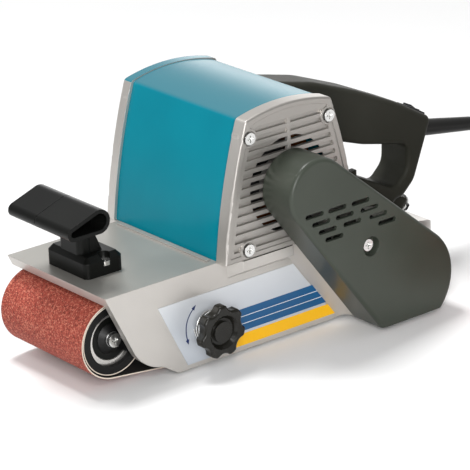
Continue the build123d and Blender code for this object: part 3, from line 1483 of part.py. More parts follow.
with BuildPart() as handle_bolt:
    rod(bolt_plane, bolt_radius, -bolt_length, washer_thick)
    with BuildSketch(bolt_plane.offset(washer_thick)):
        RegularPolygon(bolt_head_radius, 6)
    extrude(amount=bolt_head_height)

# Rocker switch on the handle's rear slope
pivot_plane = Plane(switch_plane.offset(-pivot_sink).origin, x_dir=falling(switch_fall), z_dir=(0, -1, 0))
with BuildPart() as switch_body:
    with Locations(switch_plane.offset(-switch_depth / 2)):
        Box(switch_length, switch_breadth, switch_depth)
    with Locations(switch_plane.offset(switch_lip / 2)):
        Box(switch_length + 2 * switch_lip_edge, switch_breadth + 2 * switch_lip_edge, switch_lip)
    switch_axis = Axis(switch_plane.origin, switch_plane.z_dir)
    fillet(switch_body.faces().sort_by(switch_axis)[-1].edges(), switch_lip / 2)
    with Locations(switch_plane):
        Box(
            rocker_length + 2 * rocker_room,
            rocker_breadth + 2 * rocker_room,
            2 * (pivot_sink + rocker_keel + rocker_room),
            mode=Mode.SUBTRACT,
        )
    rod(pivot_plane, pivot_radius + slider_clearance, -switch_breadth / 2, switch_breadth / 2, Mode.SUBTRACT)

with BuildPart() as switch_rocker:
    rest_plane = Plane(
        pivot_plane.offset(-rocker_breadth / 2).origin,
        x_dir=falling(switch_fall + rocker_angle / 2),
        z_dir=(0, -1, 0),
    )
    with BuildSketch(rest_plane):
        with BuildLine():
            half = rocker_length / 2
            Polyline(
                (-half, 0),
                (0, -rocker_keel),
                (half, 0),
                (half, rocker_rise),
                (0, rocker_valley),
                (-half, rocker_rise),
                close=True,
            )
        make_face()
    extrude(amount=rocker_breadth)
    reach = rocker_breadth / 2 + rocker_room + pivot_reach
    rod(pivot_plane, pivot_radius, -reach, reach)

# Cord, its strain relief, the tied coil and the plug
with BuildPart() as strain_relief:
    rod(relief_plane, relief_start_radius, -relief_root, 0)
    with Locations(relief_plane.offset(relief_length / 2)):
        Cone(relief_start_radius, relief_end_radius, relief_length)
    rod(relief_plane, cord_radius + relief_clearance, -relief_root, relief_length, Mode.SUBTRACT)

coil_z = cord_radius + tie_gap + tie_thick + floor_gap
cord_start = tuple(relief_plane.offset(relief_length - cord_in_relief).origin)
cord_exit = tuple(relief_plane.offset(relief_length + cord_lead_out).origin)
coil_x = cord_corners[-1][0]
cord_points = [
    cord_start,
    cord_exit,
    *cord_corners,
    (coil_x, cord_landing_y, coil_z),
    (coil_x, coil_start_y, coil_z),
]


def bend_radii(points):
    radii = []
    for before, corner, after in zip(points, points[1:], points[2:]):
        arrive = Vector(*corner) - Vector(*before)
        leave = Vector(*after) - Vector(*corner)
        half_turn = math.radians(arrive.get_angle(leave)) / 2
        radii.append(0.45 * min(arrive.length, leave.length) / math.tan(half_turn))
    return radii


cord_bends = bend_radii(cord_points)
with BuildPart() as cord:
    with BuildLine() as cord_line:
        FilletPolyline(*cord_points, radius=cord_bends)
    with BuildSketch(Plane(cord_points[0], z_dir=relief_plane.z_dir)):
        Circle(cord_radius)
    sweep(path=cord_line.wires()[0])
cord_length = cord_line.wires()[0].length
cord_section = math.pi * cord_radius**2
print("cord bends", [round(radius, 1) for radius in cord_bends])
print("cord volume", round(cord.part.volume), "section x length", round(cord_section * cord_length))

coil_swing = coil_step * coil_turns_per_layer
coil_centre = (coil_x - coil_inner_radius - coil_swing, coil_start_y - coil_lead)


def coil_place(quarter):
    # Point and heading of the coil, which spirals in and out and climbs at each reversal
    period = 4 * coil_turns_per_layer
    phase = quarter % (2 * period)
    falling_in = phase < period
    radius = coil_inner_radius + coil_swing * abs(phase - period) / period
    drift = -coil_step / (2 * math.pi) if falling_in else coil_step / (2 * math.pi)
    layer, step = divmod(quarter, period)
    rise = coil_step * layer
    climb = 0
    if step == 0 and layer > 0:
        rise -= coil_step / 2
        drift = 0
        climb = coil_step / math.pi
    angle = -quarter * math.pi / 2
    out = (math.cos(angle), math.sin(angle))
    point = (coil_centre[0] + radius * out[0], coil_centre[1] + radius * out[1], coil_z + rise)
    heading = (radius * out[1] + drift * out[0], -radius * out[0] + drift * out[1], climb)
    return point, heading


with BuildPart() as cord_coil:
    places = [coil_place(quarter) for quarter in range(coil_quarters + 1)]
    points = [point for point, heading in places]
    headings = [heading for point, heading in places]
    headings[0] = (0, -1, 0)
    headings[-1] = (-1, 0, 0)
    with BuildLine() as coil_line:
        Line((coil_x, coil_start_y, coil_z), points[0])
        biarcs(points, headings)
        Line(points[-1], (points[-1][0] - coil_tail, points[-1][1], points[-1][2]))
    with BuildSketch(Plane((coil_x, coil_start_y, coil_z), z_dir=(0, -1, 0))):
        Circle(cord_radius)
    sweep(path=coil_line.wires()[0])
coil_length = coil_line.wires()[0].length
least_gap(coil_line.wires()[0], cord_diameter, "cord coil")
print("coil volume", round(cord_coil.part.volume), "section x length", round(cord_section * coil_length))
print("cord in all", round(cord_length + coil_length))

with BuildPart() as cord_tie:
    coil_top = coil_z + coil_step * (coil_quarters // (4 * coil_turns_per_layer))
    tie_from = coil_inner_radius + coil_step / 2 - cord_radius - tie_gap
    tie_to = coil_inner_radius + coil_swing - coil_step / 2 + cord_radius + tie_gap
    tie_middle = ((tie_from + tie_to) / 2, (coil_z + coil_top) / 2)
    tie_size = (tie_to - tie_from, coil_top - coil_z + cord_diameter + 2 * tie_gap)
    with BuildSketch(side(coil_centre[1] + tie_width / 2)):
        with Locations((coil_centre[0] - tie_middle[0], tie_middle[1])):
            RectangleRounded(tie_size[0] + 2 * tie_thick, tie_size[1] + 2 * tie_thick, tie_thick + tie_gap)
            RectangleRounded(*tie_size, tie_gap, mode=Mode.SUBTRACT)
    extrude(amount=tie_width)

plug_z = points[-1][2]
plug_plane = Plane((points[-1][0] - coil_tail + plug_entry, points[-1][1], plug_z), z_dir=(-1, 0, 0))
plug_grip_end = plug_gland_length + plug_grip_length
plug_collar_end = plug_grip_end + plug_collar_length
plug_end = plug_collar_end + plug_shell_length
with BuildPart() as plug_body:
    rod(plug_plane, plug_gland_radius, 0, plug_gland_length)
    with Locations(plug_plane.offset((plug_gland_length + plug_grip_end) / 2)):
        Cone(plug_gland_radius + plug_shell_wall, plug_grip_radius + plug_shell_wall, plug_grip_length)
    rod(plug_plane, plug_z - floor_gap, plug_grip_end, plug_collar_end)
    rod(plug_plane, plug_shell_radius, plug_collar_end, plug_end)
    rod(plug_plane, plug_shell_radius - plug_shell_wall, plug_collar_end, plug_end, Mode.SUBTRACT)
    rod(plug_plane, cord_radius + relief_clearance, 0, plug_entry, Mode.SUBTRACT)
    with Locations(plug_plane.offset(plug_collar_end - plug_pin_length / 4)):
        with PolarLocations(plug_pin_ring, plug_pin_count):
            Cylinder(plug_pin_radius + seat_clearance, plug_pin_length / 2, mode=Mode.SUBTRACT)

with BuildPart() as plug_pins:
    with Locations(plug_plane.offset(plug_collar_end + plug_pin_length / 4)):
        with PolarLocations(plug_pin_ring, plug_pin_count):
            Cylinder(plug_pin_radius, 1.5 * plug_pin_length)

pieces = {
    "base_casting": base_casting,
    "inner_frame": inner_frame,
    "frame_bolts": frame_bolts,
    "graphite_pad": graphite_pad,
    "cork_pad": cork_pad,
    "sole_plate": sole_plate,
    "sanding_belt": sanding_belt,
    "motor_mantle": motor_mantle,
    "near_end_cover": near_end_cover,
    "far_end_cover": far_end_cover,
    "end_cover_screws": end_cover_screws,
    "stator_core": stator_core,
    "stator_windings": stator_windings,
    "motor_shaft": motor_shaft,
    "rotor_core": rotor_core,
    "cooling_fan": cooling_fan,
    "motor_bearings": motor_bearings,
    "motor_pulley": motor_pulley,
    "motor_pulley_nut": motor_pulley_nut,
    "drive_belt": drive_belt,
    "driven_pulley": driven_pulley,
    "driven_pulley_nut": driven_pulley_nut,
    "belt_guard": belt_guard,
    "guard_screw": guard_screw,
    "drive_shaft": drive_shaft,
    "drive_roller_core": drive_roller_core,
    "drive_roller_cover": drive_roller_cover,
    "drive_bearings": drive_bearings,
    "idler_axle": idler_axle,
    "hub_screws": hub_screws,
    "idler_core": idler_core,
    "idler_tyre": idler_tyre,
    "idler_bearings": idler_bearings,
    "dust_caps": dust_caps,
    "tension_slider": tension_slider,
    "fork_pin": fork_pin,
    "tracking_fork": tracking_fork,
    "tension_spring": tension_spring,
    "tracking_bush": tracking_bush,
    "tracking_screw": tracking_screw,
    "tracking_knob": tracking_knob,
    "tracking_spring": tracking_spring,
    "rating_plate": rating_plate,
    "front_grip": front_grip,
    "grip_screws": grip_screws,
    "handle_near": handle_near,
    "handle_far": handle_far,
    "handle_screws": handle_screws,
    "handle_washer": handle_washer,
    "handle_bolt": handle_bolt,
    "switch_body": switch_body,
    "switch_rocker": switch_rocker,
    "strain_relief": strain_relief,
    "cord": cord,
    "cord_coil": cord_coil,
    "cord_tie": cord_tie,
    "plug_body": plug_body,
    "plug_pins": plug_pins,
}
for name, piece in pieces.items():
    piece.part.label = name
    export_step(piece.part, f"parts/{name}.step")
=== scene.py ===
import math
import bpy
import bmesh
from mathutils import Matrix, Vector


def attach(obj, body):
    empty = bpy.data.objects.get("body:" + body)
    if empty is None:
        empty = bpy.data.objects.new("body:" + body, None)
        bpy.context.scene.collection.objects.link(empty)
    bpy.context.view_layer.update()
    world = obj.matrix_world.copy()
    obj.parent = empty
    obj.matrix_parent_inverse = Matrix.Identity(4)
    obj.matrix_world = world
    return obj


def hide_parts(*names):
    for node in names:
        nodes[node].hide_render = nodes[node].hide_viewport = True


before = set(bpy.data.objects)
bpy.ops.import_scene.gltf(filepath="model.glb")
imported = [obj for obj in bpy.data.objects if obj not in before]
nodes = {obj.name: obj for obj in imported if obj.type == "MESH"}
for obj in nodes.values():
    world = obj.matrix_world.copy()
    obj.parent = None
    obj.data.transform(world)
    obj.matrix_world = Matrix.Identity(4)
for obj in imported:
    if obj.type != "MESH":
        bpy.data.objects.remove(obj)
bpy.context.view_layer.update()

scene = bpy.context.scene
mm = 0.001


def linear(r, g, b):  # screen colour, 0 to 255, to shader colour
    out = []
    for part in (r, g, b):
        share = part / 255
        out.append(share / 12.92 if share <= 0.04045 else ((share + 0.055) / 1.055) ** 2.4)
    return (*out, 1.0)


# camera at the photograph's viewing angle
cameraPlan = {
    "place": (-1.27755, -1.67183, 0.87716),
    "right": (0.77679, -0.62870, -0.03635),
    "up": (0.25097, 0.25612, 0.93349),
    "lens": 220.84,
    "sensor": 36.0,
    "reach": 50,
}


def addCamera(plan):
    data = bpy.data.cameras.new("camera")
    data.lens = plan["lens"]
    data.sensor_width = plan["sensor"]
    data.clip_end = plan["reach"]
    camera = bpy.data.objects.new("camera", data)
    scene.collection.objects.link(camera)
    right = Vector(plan["right"]).normalized()
    back = right.cross(Vector(plan["up"])).normalized()
    up = back.cross(right)
    turn = Matrix((right, up, back)).transposed().to_4x4()
    camera.matrix_world = Matrix.Translation(plan["place"]) @ turn
    scene.camera = camera


addCamera(cameraPlan)
print("camera placed")


# finishes
finishPlan = {
    "patchDetail": 4.0,
    "patchStops": (0.35, 0.65),  # noise levels where the dark and the pale tone are full
    "patchSpan": (0.3, 0.7),  # noise levels where the low and the high roughness are full
    "grainDetail": 2.0,
    "edgeSamples": 4,
    "skyReflectionSpan": (0.4, 0.85),  # upward tilt where the painted sky reflection begins and is full
}


def newFinish(name):
    finish = bpy.data.materials.new(name)
    finish.use_nodes = True
    tree = finish.node_tree
    shader = tree.nodes["Principled BSDF"]
    where = tree.nodes.new("ShaderNodeTexCoord")
    return finish, tree, shader, where.outputs["Object"]


def noise(tree, where, scale, detail, stretch=None):
    texture = tree.nodes.new("ShaderNodeTexNoise")
    texture.inputs["Scale"].default_value = scale
    texture.inputs["Detail"].default_value = detail
    if stretch:
        mapping = tree.nodes.new("ShaderNodeMapping")
        mapping.inputs["Scale"].default_value = stretch
        tree.links.new(where, mapping.inputs["Vector"])
        where = mapping.outputs["Vector"]
    tree.links.new(where, texture.inputs["Vector"])
    return texture.outputs["Fac"]


def ramp(tree, source, stops):
    node = tree.nodes.new("ShaderNodeValToRGB")
    band = node.color_ramp
    while len(band.elements) < len(stops):
        band.elements.new(0.5)
    for element, (place, colour) in zip(band.elements, stops):
        element.position = place
        element.color = colour
    tree.links.new(source, node.inputs["Fac"])
    return node.outputs["Color"]


def mapRange(tree, source, span, reach=(0.0, 1.0)):
    node = tree.nodes.new("ShaderNodeMapRange")
    node.inputs["From Min"].default_value, node.inputs["From Max"].default_value = span
    node.inputs["To Min"].default_value, node.inputs["To Max"].default_value = reach
    tree.links.new(source, node.inputs["Value"])
    return node.outputs["Result"]


def spread(tree, source, low, high):
    return mapRange(tree, source, finishPlan["patchSpan"], (low, high))


def softEdges(tree, radius):  # rounds the look of an edge, radius in millimetres
    node = tree.nodes.new("ShaderNodeBevel")
    node.samples = finishPlan["edgeSamples"]
    node.inputs["Radius"].default_value = radius * mm
    return node.outputs["Normal"]


def grain(tree, shader, source, strength, depth, edge=0.0):
    bump = tree.nodes.new("ShaderNodeBump")
    bump.inputs["Strength"].default_value = strength
    bump.inputs["Distance"].default_value = depth
    if edge:
        tree.links.new(softEdges(tree, edge), bump.inputs["Normal"])
    tree.links.new(source, bump.inputs["Height"])
    tree.links.new(bump.outputs["Normal"], shader.inputs["Normal"])


def paintSkyReflection(tree, colour, skyReflectionTone):  # painted reflection: paler, greyer paint where a face looks up, standing in for the bright sky it would mirror
    facing = tree.nodes.new("ShaderNodeTexCoord")
    split = tree.nodes.new("ShaderNodeSeparateXYZ")
    tree.links.new(facing.outputs["Normal"], split.inputs["Vector"])
    mix = tree.nodes.new("ShaderNodeMixRGB")
    tree.links.new(mapRange(tree, split.outputs["Z"], finishPlan["skyReflectionSpan"]), mix.inputs["Fac"])
    tree.links.new(colour, mix.inputs["Color1"])
    mix.inputs["Color2"].default_value = skyReflectionTone
    return mix.outputs["Color"]


def surface(name, dark, pale, rough, metal=0.0, gloss=0.5, patch=9.0, grainScale=900.0, grainStrength=0.15,
            grainDepth=0.0002, stretch=None, edge=0.0, skyReflectionTone=None):
    plan = finishPlan
    finish, tree, shader, where = newFinish(name)
    shader.inputs["Metallic"].default_value = metal
    shader.inputs["Specular IOR Level"].default_value = gloss
    patches = noise(tree, where, patch, plan["patchDetail"], stretch)
    colour = ramp(tree, patches, tuple(zip(plan["patchStops"], (linear(*dark), linear(*pale)))))
    if skyReflectionTone:
        colour = paintSkyReflection(tree, colour, linear(*skyReflectionTone))
    tree.links.new(colour, shader.inputs["Base Color"])
    tree.links.new(spread(tree, patches, *rough), shader.inputs["Roughness"])
    grains = noise(tree, where, grainScale, plan["grainDetail"], stretch)
    grain(tree, shader, grains, grainStrength, grainDepth, edge)
    return finish


surfaces = {
    "castAlloy": dict(
        dark=(194, 190, 185), pale=(208, 204, 199), rough=(0.36, 0.44), metal=0.7,
        grainScale=1500, grainStrength=0.3, grainDepth=0.00012, edge=0.6),
    # painted shade: a darker, less metallic copy of the cast alloy for the casting's upward deck faces
    "shadedDeckAlloy": dict(
        dark=(160, 157, 151), pale=(172, 169, 163), rough=(0.4, 0.48), metal=0.5,
        grainScale=1500, grainStrength=0.3, grainDepth=0.00012, edge=0.6),
    # painted shade: a darker copy of the cast alloy for the near end cover, whose front rim keeps the paler
    # cast alloy
    "shadedCoverAlloy": dict(
        dark=(164, 160, 155), pale=(177, 173, 168), rough=(0.36, 0.44), metal=0.7,
        grainScale=1500, grainStrength=0.3, grainDepth=0.00012, edge=0.5),
    # the teal's upward faces get a painted sky reflection, a paler and greyer tone
    "tealPaint": dict(
        dark=(0, 127, 146), pale=(0, 134, 153), rough=(0.22, 0.28), gloss=0.11, patch=14,
        grainScale=420, grainStrength=0.03, edge=0.5, skyReflectionTone=(62, 121, 135)),
    "guardPaint": dict(
        dark=(58, 63, 55), pale=(65, 70, 62), rough=(0.3, 0.36), gloss=0.3, patch=12,
        grainScale=1300, grainStrength=0.06, edge=0.5),
    "handlePlastic": dict(
        dark=(43, 43, 37), pale=(51, 51, 45), rough=(0.46, 0.54), gloss=0.1, patch=12,
        grainScale=1600, grainStrength=0.1, edge=0.5),
    "blackPlastic": dict(
        dark=(10, 11, 10), pale=(16, 17, 15), rough=(0.3, 0.4), gloss=0.14, patch=14,
        grainScale=1500, grainStrength=0.05, edge=0.6),
    "knobPlastic": dict(
        dark=(24, 23, 20), pale=(30, 29, 25), rough=(0.18, 0.26), gloss=0.28, patch=14,
        grainScale=1500, grainStrength=0.04, edge=0.6),
    "switchPlastic": dict(
        dark=(12, 12, 13), pale=(17, 17, 18), rough=(0.24, 0.3), gloss=0.3, grainStrength=0.03, edge=0.4),
    "groundSteel": dict(
        dark=(150, 150, 150), pale=(172, 172, 172), rough=(0.28, 0.4), metal=0.9,
        grainStrength=0.08, edge=0.3),
    "brightScrew": dict(
        dark=(214, 214, 212), pale=(230, 230, 228), rough=(0.16, 0.24), metal=0.95,
        grainStrength=0.03, edge=0.3),
    "blackSteel": dict(
        dark=(30, 30, 30), pale=(40, 40, 40), rough=(0.35, 0.5), metal=0.6, edge=0.4),
    "rollerAlloy": dict(
        dark=(206, 203, 199), pale=(226, 223, 219), rough=(0.22, 0.3), metal=0.85,
        grainStrength=0.05, edge=0.4),
    # painted shade: dark alloy for parts seen through the guard's slots, which stand in shade
    "shadedDarkAlloy": dict(
        dark=(60, 60, 60), pale=(74, 74, 74), rough=(0.4, 0.5), metal=0.7, edge=0.3),
    "frameAlloy": dict(
        dark=(150, 149, 147), pale=(170, 168, 166), rough=(0.45, 0.55), metal=0.7,
        grainScale=1300, grainStrength=0.25, edge=0.6),
    "rubber": dict(
        dark=(14, 14, 14), pale=(20, 20, 19), rough=(0.5, 0.62), gloss=0.25,
        grainScale=1800, grainStrength=0.2, edge=0.5),
    "cordRubber": dict(
        dark=(20, 20, 19), pale=(28, 27, 26), rough=(0.42, 0.52), gloss=0.3,
        grainScale=1500, grainStrength=0.05),
    "cork": dict(
        dark=(150, 105, 62), pale=(190, 145, 95), rough=(0.8, 0.9), patch=260,
        grainScale=500, grainStrength=0.5),
    "graphite": dict(
        dark=(40, 40, 43), pale=(56, 56, 60), rough=(0.5, 0.62), grainScale=1200, grainStrength=0.4),
    "copper": dict(
        dark=(150, 84, 44), pale=(184, 110, 62), rough=(0.3, 0.45), metal=0.8, patch=300,
        grainScale=700, grainStrength=0.6),
    "lamination": dict(
        dark=(84, 84, 86), pale=(110, 110, 112), rough=(0.4, 0.55), metal=0.8,
        patch=500, stretch=(0.05, 4, 0.05), grainScale=900),
    "brass": dict(
        dark=(190, 150, 70), pale=(214, 176, 96), rough=(0.22, 0.34), metal=0.95, edge=0.3),
    "plugPlastic": dict(
        dark=(176, 24, 22), pale=(190, 30, 27), rough=(0.3, 0.4), grainStrength=0.06, edge=0.6),
    "beltEdge": dict(
        dark=(222, 208, 192), pale=(238, 228, 214), rough=(0.8, 0.9), grainScale=1200),
    # painted shade: the belt's inner face is painted dark as if always in shadow
    "shadedBeltCloth": dict(
        dark=(34, 29, 27), pale=(44, 38, 35), rough=(0.8, 0.9), grainScale=1200),
}
finishes = {name: surface(name, **look) for name, look in surfaces.items()}

gritPlan = {
    "scale": 1050,
    "tones": ((0.0, (120, 47, 37)), (0.3, (157, 67, 54)), (0.7, (185, 85, 68)), (1.0, (214, 136, 112))),
    "rough": 0.7,
    "gloss": 0.35,
    "bump": 0.8,
    "depth": 0.0006,
}


def toneStops(tones):
    return [(place, linear(*colour)) for place, colour in tones]


def gritFinish(plan):  # open grit on red cloth
    finish, tree, shader, where = newFinish("grit")
    grains = tree.nodes.new("ShaderNodeTexVoronoi")
    grains.inputs["Scale"].default_value = plan["scale"]
    tree.links.new(where, grains.inputs["Vector"])
    tone = tree.nodes.new("ShaderNodeSeparateXYZ")
    tree.links.new(grains.outputs["Color"], tone.inputs["Vector"])
    tree.links.new(ramp(tree, tone.outputs["X"], toneStops(plan["tones"])), shader.inputs["Base Color"])
    shader.inputs["Roughness"].default_value = plan["rough"]
    shader.inputs["Specular IOR Level"].default_value = plan["gloss"]
    grain(tree, shader, grains.outputs["Distance"], plan["bump"], plan["depth"])
    return finish


filmPlan = {
    "heights": (0.006, 0.060),
    "tones": ((0.0, (194, 200, 208)), (0.55, (204, 209, 216)), (1.0, (216, 219, 223))),
    "metal": 0.3,
    "rough": 0.42,
}


def filmFinish(plan):  # silver film that turns bluish downwards
    finish, tree, shader, where = newFinish("plateFilm")
    parts = tree.nodes.new("ShaderNodeSeparateXYZ")
    tree.links.new(where, parts.inputs["Vector"])
    height = mapRange(tree, parts.outputs["Z"], plan["heights"])
    tree.links.new(ramp(tree, height, toneStops(plan["tones"])), shader.inputs["Base Color"])
    shader.inputs["Metallic"].default_value = plan["metal"]
    shader.inputs["Roughness"].default_value = plan["rough"]
    return finish


inkPlan = {
    "patch": 40,
    "detail": 2.0,
    "rough": (0.3, 0.38),
    "colours": {
        "blueInk": (22, 86, 134),
        "yellowInk": (255, 192, 16),
        "whiteInk": (232, 234, 236),
        "darkBlueInk": (22, 40, 92),
    },
}


def inkFinish(name, plan):
    finish, tree, shader, where = newFinish(name)
    patches = noise(tree, where, plan["patch"], plan["detail"])
    tree.links.new(spread(tree, patches, *plan["rough"]), shader.inputs["Roughness"])
    shader.inputs["Base Color"].default_value = linear(*plan["colours"][name])
    return finish


finishes["grit"] = gritFinish(gritPlan)
finishes["plateFilm"] = filmFinish(filmPlan)
for inkName in inkPlan["colours"]:
    finishes[inkName] = inkFinish(inkName, inkPlan)
print("finishes made:", len(finishes))

# finish of each solid
dress = {
    "castAlloy": ("base_casting", "far_end_cover"),
    # painted shade: the near end cover takes the darker copy of the cast alloy
    "shadedCoverAlloy": ("near_end_cover",),
    "frameAlloy": ("inner_frame",),
    "groundSteel": (
        "frame_bolts", "sole_plate", "motor_bearings", "drive_bearings", "idler_axle", "idler_bearings",
        "tension_slider", "fork_pin", "tracking_screw",
    ),
    "graphite": ("graphite_pad",),
    "cork": ("cork_pad",),
    "grit": ("sanding_belt",),
    "tealPaint": ("motor_mantle",),
    "brightScrew": (
        "end_cover_screws", "guard_screw", "hub_screws", "tension_spring", "tracking_spring", "grip_screws",
        "handle_screws", "handle_washer",
    ),
    "lamination": ("stator_core", "rotor_core"),
    "copper": ("stator_windings",),
    "blackPlastic": ("cooling_fan", "dust_caps", "front_grip", "cord_tie"),
    "knobPlastic": ("tracking_knob",),
    # painted shade: the pulleys, nuts and shafts behind the guard are painted dark
    "shadedDarkAlloy": (
        "motor_pulley", "driven_pulley", "motor_pulley_nut", "driven_pulley_nut", "motor_shaft",
        "drive_shaft",
    ),
    "rubber": ("drive_belt", "drive_roller_cover", "idler_tyre"),
    "guardPaint": ("belt_guard",),
    "rollerAlloy": ("drive_roller_core", "idler_core"),
    "blackSteel": ("tracking_fork", "handle_bolt"),
    "brass": ("tracking_bush", "plug_pins"),
    "plateFilm": ("rating_plate",),
    "handlePlastic": ("handle_near", "handle_far"),
    "switchPlastic": ("switch_body", "switch_rocker"),
    "cordRubber": ("strain_relief",),
    "plugPlastic": ("plug_body",),
}

for finishName, nodeNames in dress.items():
    for nodeName in nodeNames:
        nodes[nodeName].data.materials.clear()
        nodes[nodeName].data.materials.append(finishes[finishName])
print("solids dressed:", sum(len(names) for names in dress.values()))


# faces painted by their place; lengths in metres, facings as parts of the face normal
paintPlan = {
    "beltMiddle": (0.0, 0.035),
    "beltEdgeFacing": 0.9,
    "lug": ((0.190, -0.0132, 0.034), (0.214, 0.0012, 0.0612)),  # under the handle's rear leg
    "level": 0.99,
    "deckAbove": 0.07,
    "ledgeEdge": -0.0695,
    "guardEdge": -0.0685,
    "guardStart": 0.09,
    "screwBehind": 0.03,  # the cover screw that the guard shades
    "screwBelow": 0.13,
    "rimFacing": -0.5,
    "crownAcross": 0.2,
    "crownUp": 0.6,
}


def paintFaces(nodeName, finishName, chosen):
    mesh = nodes[nodeName].data
    mesh.materials.append(finishes[finishName])
    slot = len(mesh.materials) - 1
    count = 0
    for face in mesh.polygons:
        if chosen(face, [mesh.vertices[index].co for index in face.vertices], paintPlan):
            face.material_index = slot
            count += 1
    print(nodeName, "faces painted", finishName, count)


def onBeltEdge(face, corners, plan):
    return abs(face.normal.y) > plan["beltEdgeFacing"]


def inBelt(face, corners, plan):
    middleX, middleZ = plan["beltMiddle"]
    out = Vector((face.center.x - middleX, 0, face.center.z - middleZ))
    return not onBeltEdge(face, corners, plan) and out.dot(face.normal) < 0


def inLug(face, corners, plan):
    low, high = plan["lug"]
    return all(low[axis] <= corner[axis] <= high[axis] for corner in corners for axis in range(3))


def onDeck(face, corners, plan):
    return face.normal.z > plan["level"] and face.center.z > plan["deckAbove"]


# painted shade: ledge tops behind the guard's slots and under the near end cover's edge are painted black
def shadedLedges(face, corners, plan):
    def inShade(corner):
        behindGuard = corner.y < plan["guardEdge"] and corner.x > plan["guardStart"]
        return corner.y < plan["ledgeEdge"] or behindGuard

    return face.normal.z > plan["level"] and all(inShade(corner) for corner in corners)


def onShadedScrew(face, corners, plan):
    place = face.center
    return place.x > plan["screwBehind"] and place.y < 0 and place.z < plan["screwBelow"]


def onFrontRim(face, corners, plan):
    return face.normal.x < plan["rimFacing"]


def onCrown(face, corners, plan):
    return abs(face.normal.y) < plan["crownAcross"] and face.normal.z > plan["crownUp"]


paintFaces("sanding_belt", "beltEdge", onBeltEdge)
# painted shade on the belt's inner face
paintFaces("sanding_belt", "shadedBeltCloth", inBelt)
paintFaces("base_casting", "handlePlastic", inLug)
# painted shade: the casting's upward deck faces take the darker copy of the alloy
paintFaces("base_casting", "shadedDeckAlloy", onDeck)
# painted shade under the guard and the near end cover
paintFaces("base_casting", "handlePlastic", shadedLedges)
paintFaces("end_cover_screws", "shadedDarkAlloy", onShadedScrew)
# painted light: the near end cover's front rim takes the paler cast alloy, against the painted shade of its
# side
paintFaces("near_end_cover", "castAlloy", onFrontRim)
paintFaces("far_end_cover", "tealPaint", onCrown)

# pale ring round the front tyre's ends
tyreEdge = {"radius": 28.1, "width": 0.7, "lift": 0.15, "sink": 1.0, "end": 51.0, "steps": 96}


def addTyreEdge(plan, side):
    places = [vertex.co for vertex in nodes["idler_tyre"].data.vertices]
    middleX, middleZ = ((min(p[axis] for p in places) + max(p[axis] for p in places)) / 2 for axis in (0, 2))
    width, lift, sink = plan["width"], plan["lift"], plan["sink"]
    form = bmesh.new()
    outline = []
    for grow, out in ((0, -sink), (width, -sink), (width, lift), (0, lift)):
        reach = (plan["radius"] - width + grow) * mm
        outline.append(form.verts.new((middleX + reach, side * (plan["end"] + out) * mm, middleZ)))
    edges = [form.edges.new((outline[index - 1], outline[index])) for index in range(len(outline))]
    bmesh.ops.spin(form, geom=outline + edges, cent=(middleX, 0, middleZ), axis=(0, 1, 0),
                   angle=2 * math.pi, steps=plan["steps"], use_merge=True)
    bmesh.ops.recalc_face_normals(form, faces=form.faces)
    mesh = bpy.data.meshes.new("tyreEdge")
    form.to_mesh(mesh)
    form.free()
    mesh.materials.append(finishes["beltEdge"])
    ring = bpy.data.objects.new("tyreEdgeNear" if side < 0 else "tyreEdgeFar", mesh)
    scene.collection.objects.link(ring)
    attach(ring, "idler_roller")


addTyreEdge(tyreEdge, -1)
addTyreEdge(tyreEdge, 1)
print("tyre edges added")

# printed bands and arrow on the rating plate, which stays bare of words
plateArt = {
    "face": -69.6,
    "ink": 0.12,
    "blue": ((-23.0, 37.0), (59.0, 37.0), (72.0, 18.8), (-23.0, 18.8)),
    "yellow": ((-23.0, 16.6), (73.6, 16.6), (80.6, 6.9), (-23.0, 6.9)),
    "lineHeights": (31.0, 24.9),
    "lineThick": 0.45,
    "lineStart": -22.0,
    "arrow": ((-60.5, 50.1), (-67.0, 39.8), (-66.8, 27.0)),
    "arrowThick": 0.9,
    "headLength": 4.2,
    "headWidth": 3.4,
    "arrowSteps": 14,
}


def inkPatch(name, plan, corners, finishName, layers=1):
    form = bmesh.new()
    face = form.faces.new([form.verts.new((x * mm, plan["face"] * mm, z * mm)) for x, z in corners])
    made = bmesh.ops.extrude_face_region(form, geom=[face])
    moved = [item for item in made["geom"] if isinstance(item, bmesh.types.BMVert)]
    bmesh.ops.translate(form, verts=moved, vec=(0, -plan["ink"] * layers * mm, 0))
    bmesh.ops.recalc_face_normals(form, faces=form.faces)
    mesh = bpy.data.meshes.new(name)
    form.to_mesh(mesh)
    form.free()
    mesh.materials.append(finishes[finishName])
    patch = bpy.data.objects.new(name, mesh)
    scene.collection.objects.link(patch)
    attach(patch, "frame")


def arrowCorners(plan):  # bent bar with a head at each end, round one outline
    first, middle, last = (Vector(point) for point in plan["arrow"])
    control = 2 * middle - (first + last) / 2
    steps = plan["arrowSteps"]
    spine = []
    for index in range(steps + 1):
        share = index / steps
        spine.append(first * (1 - share) ** 2 + control * 2 * share * (1 - share) + last * share**2)
    left, right = [], []
    for index, point in enumerate(spine):
        ahead = spine[min(index + 1, steps)] - spine[max(index - 1, 0)]
        across = Vector((-ahead.y, ahead.x)).normalized() * plan["arrowThick"] / 2
        left.append(point + across)
        right.append(point - across)

    def head(end, along):
        across = Vector((-along.y, along.x)) * plan["headWidth"] / 2
        return [end + across, end + along * plan["headLength"], end - across]

    front = (spine[0] - spine[1]).normalized()
    back = (spine[-1] - spine[-2]).normalized()
    return [*head(spine[0], front), *left, *head(spine[-1], back), *reversed(right)]


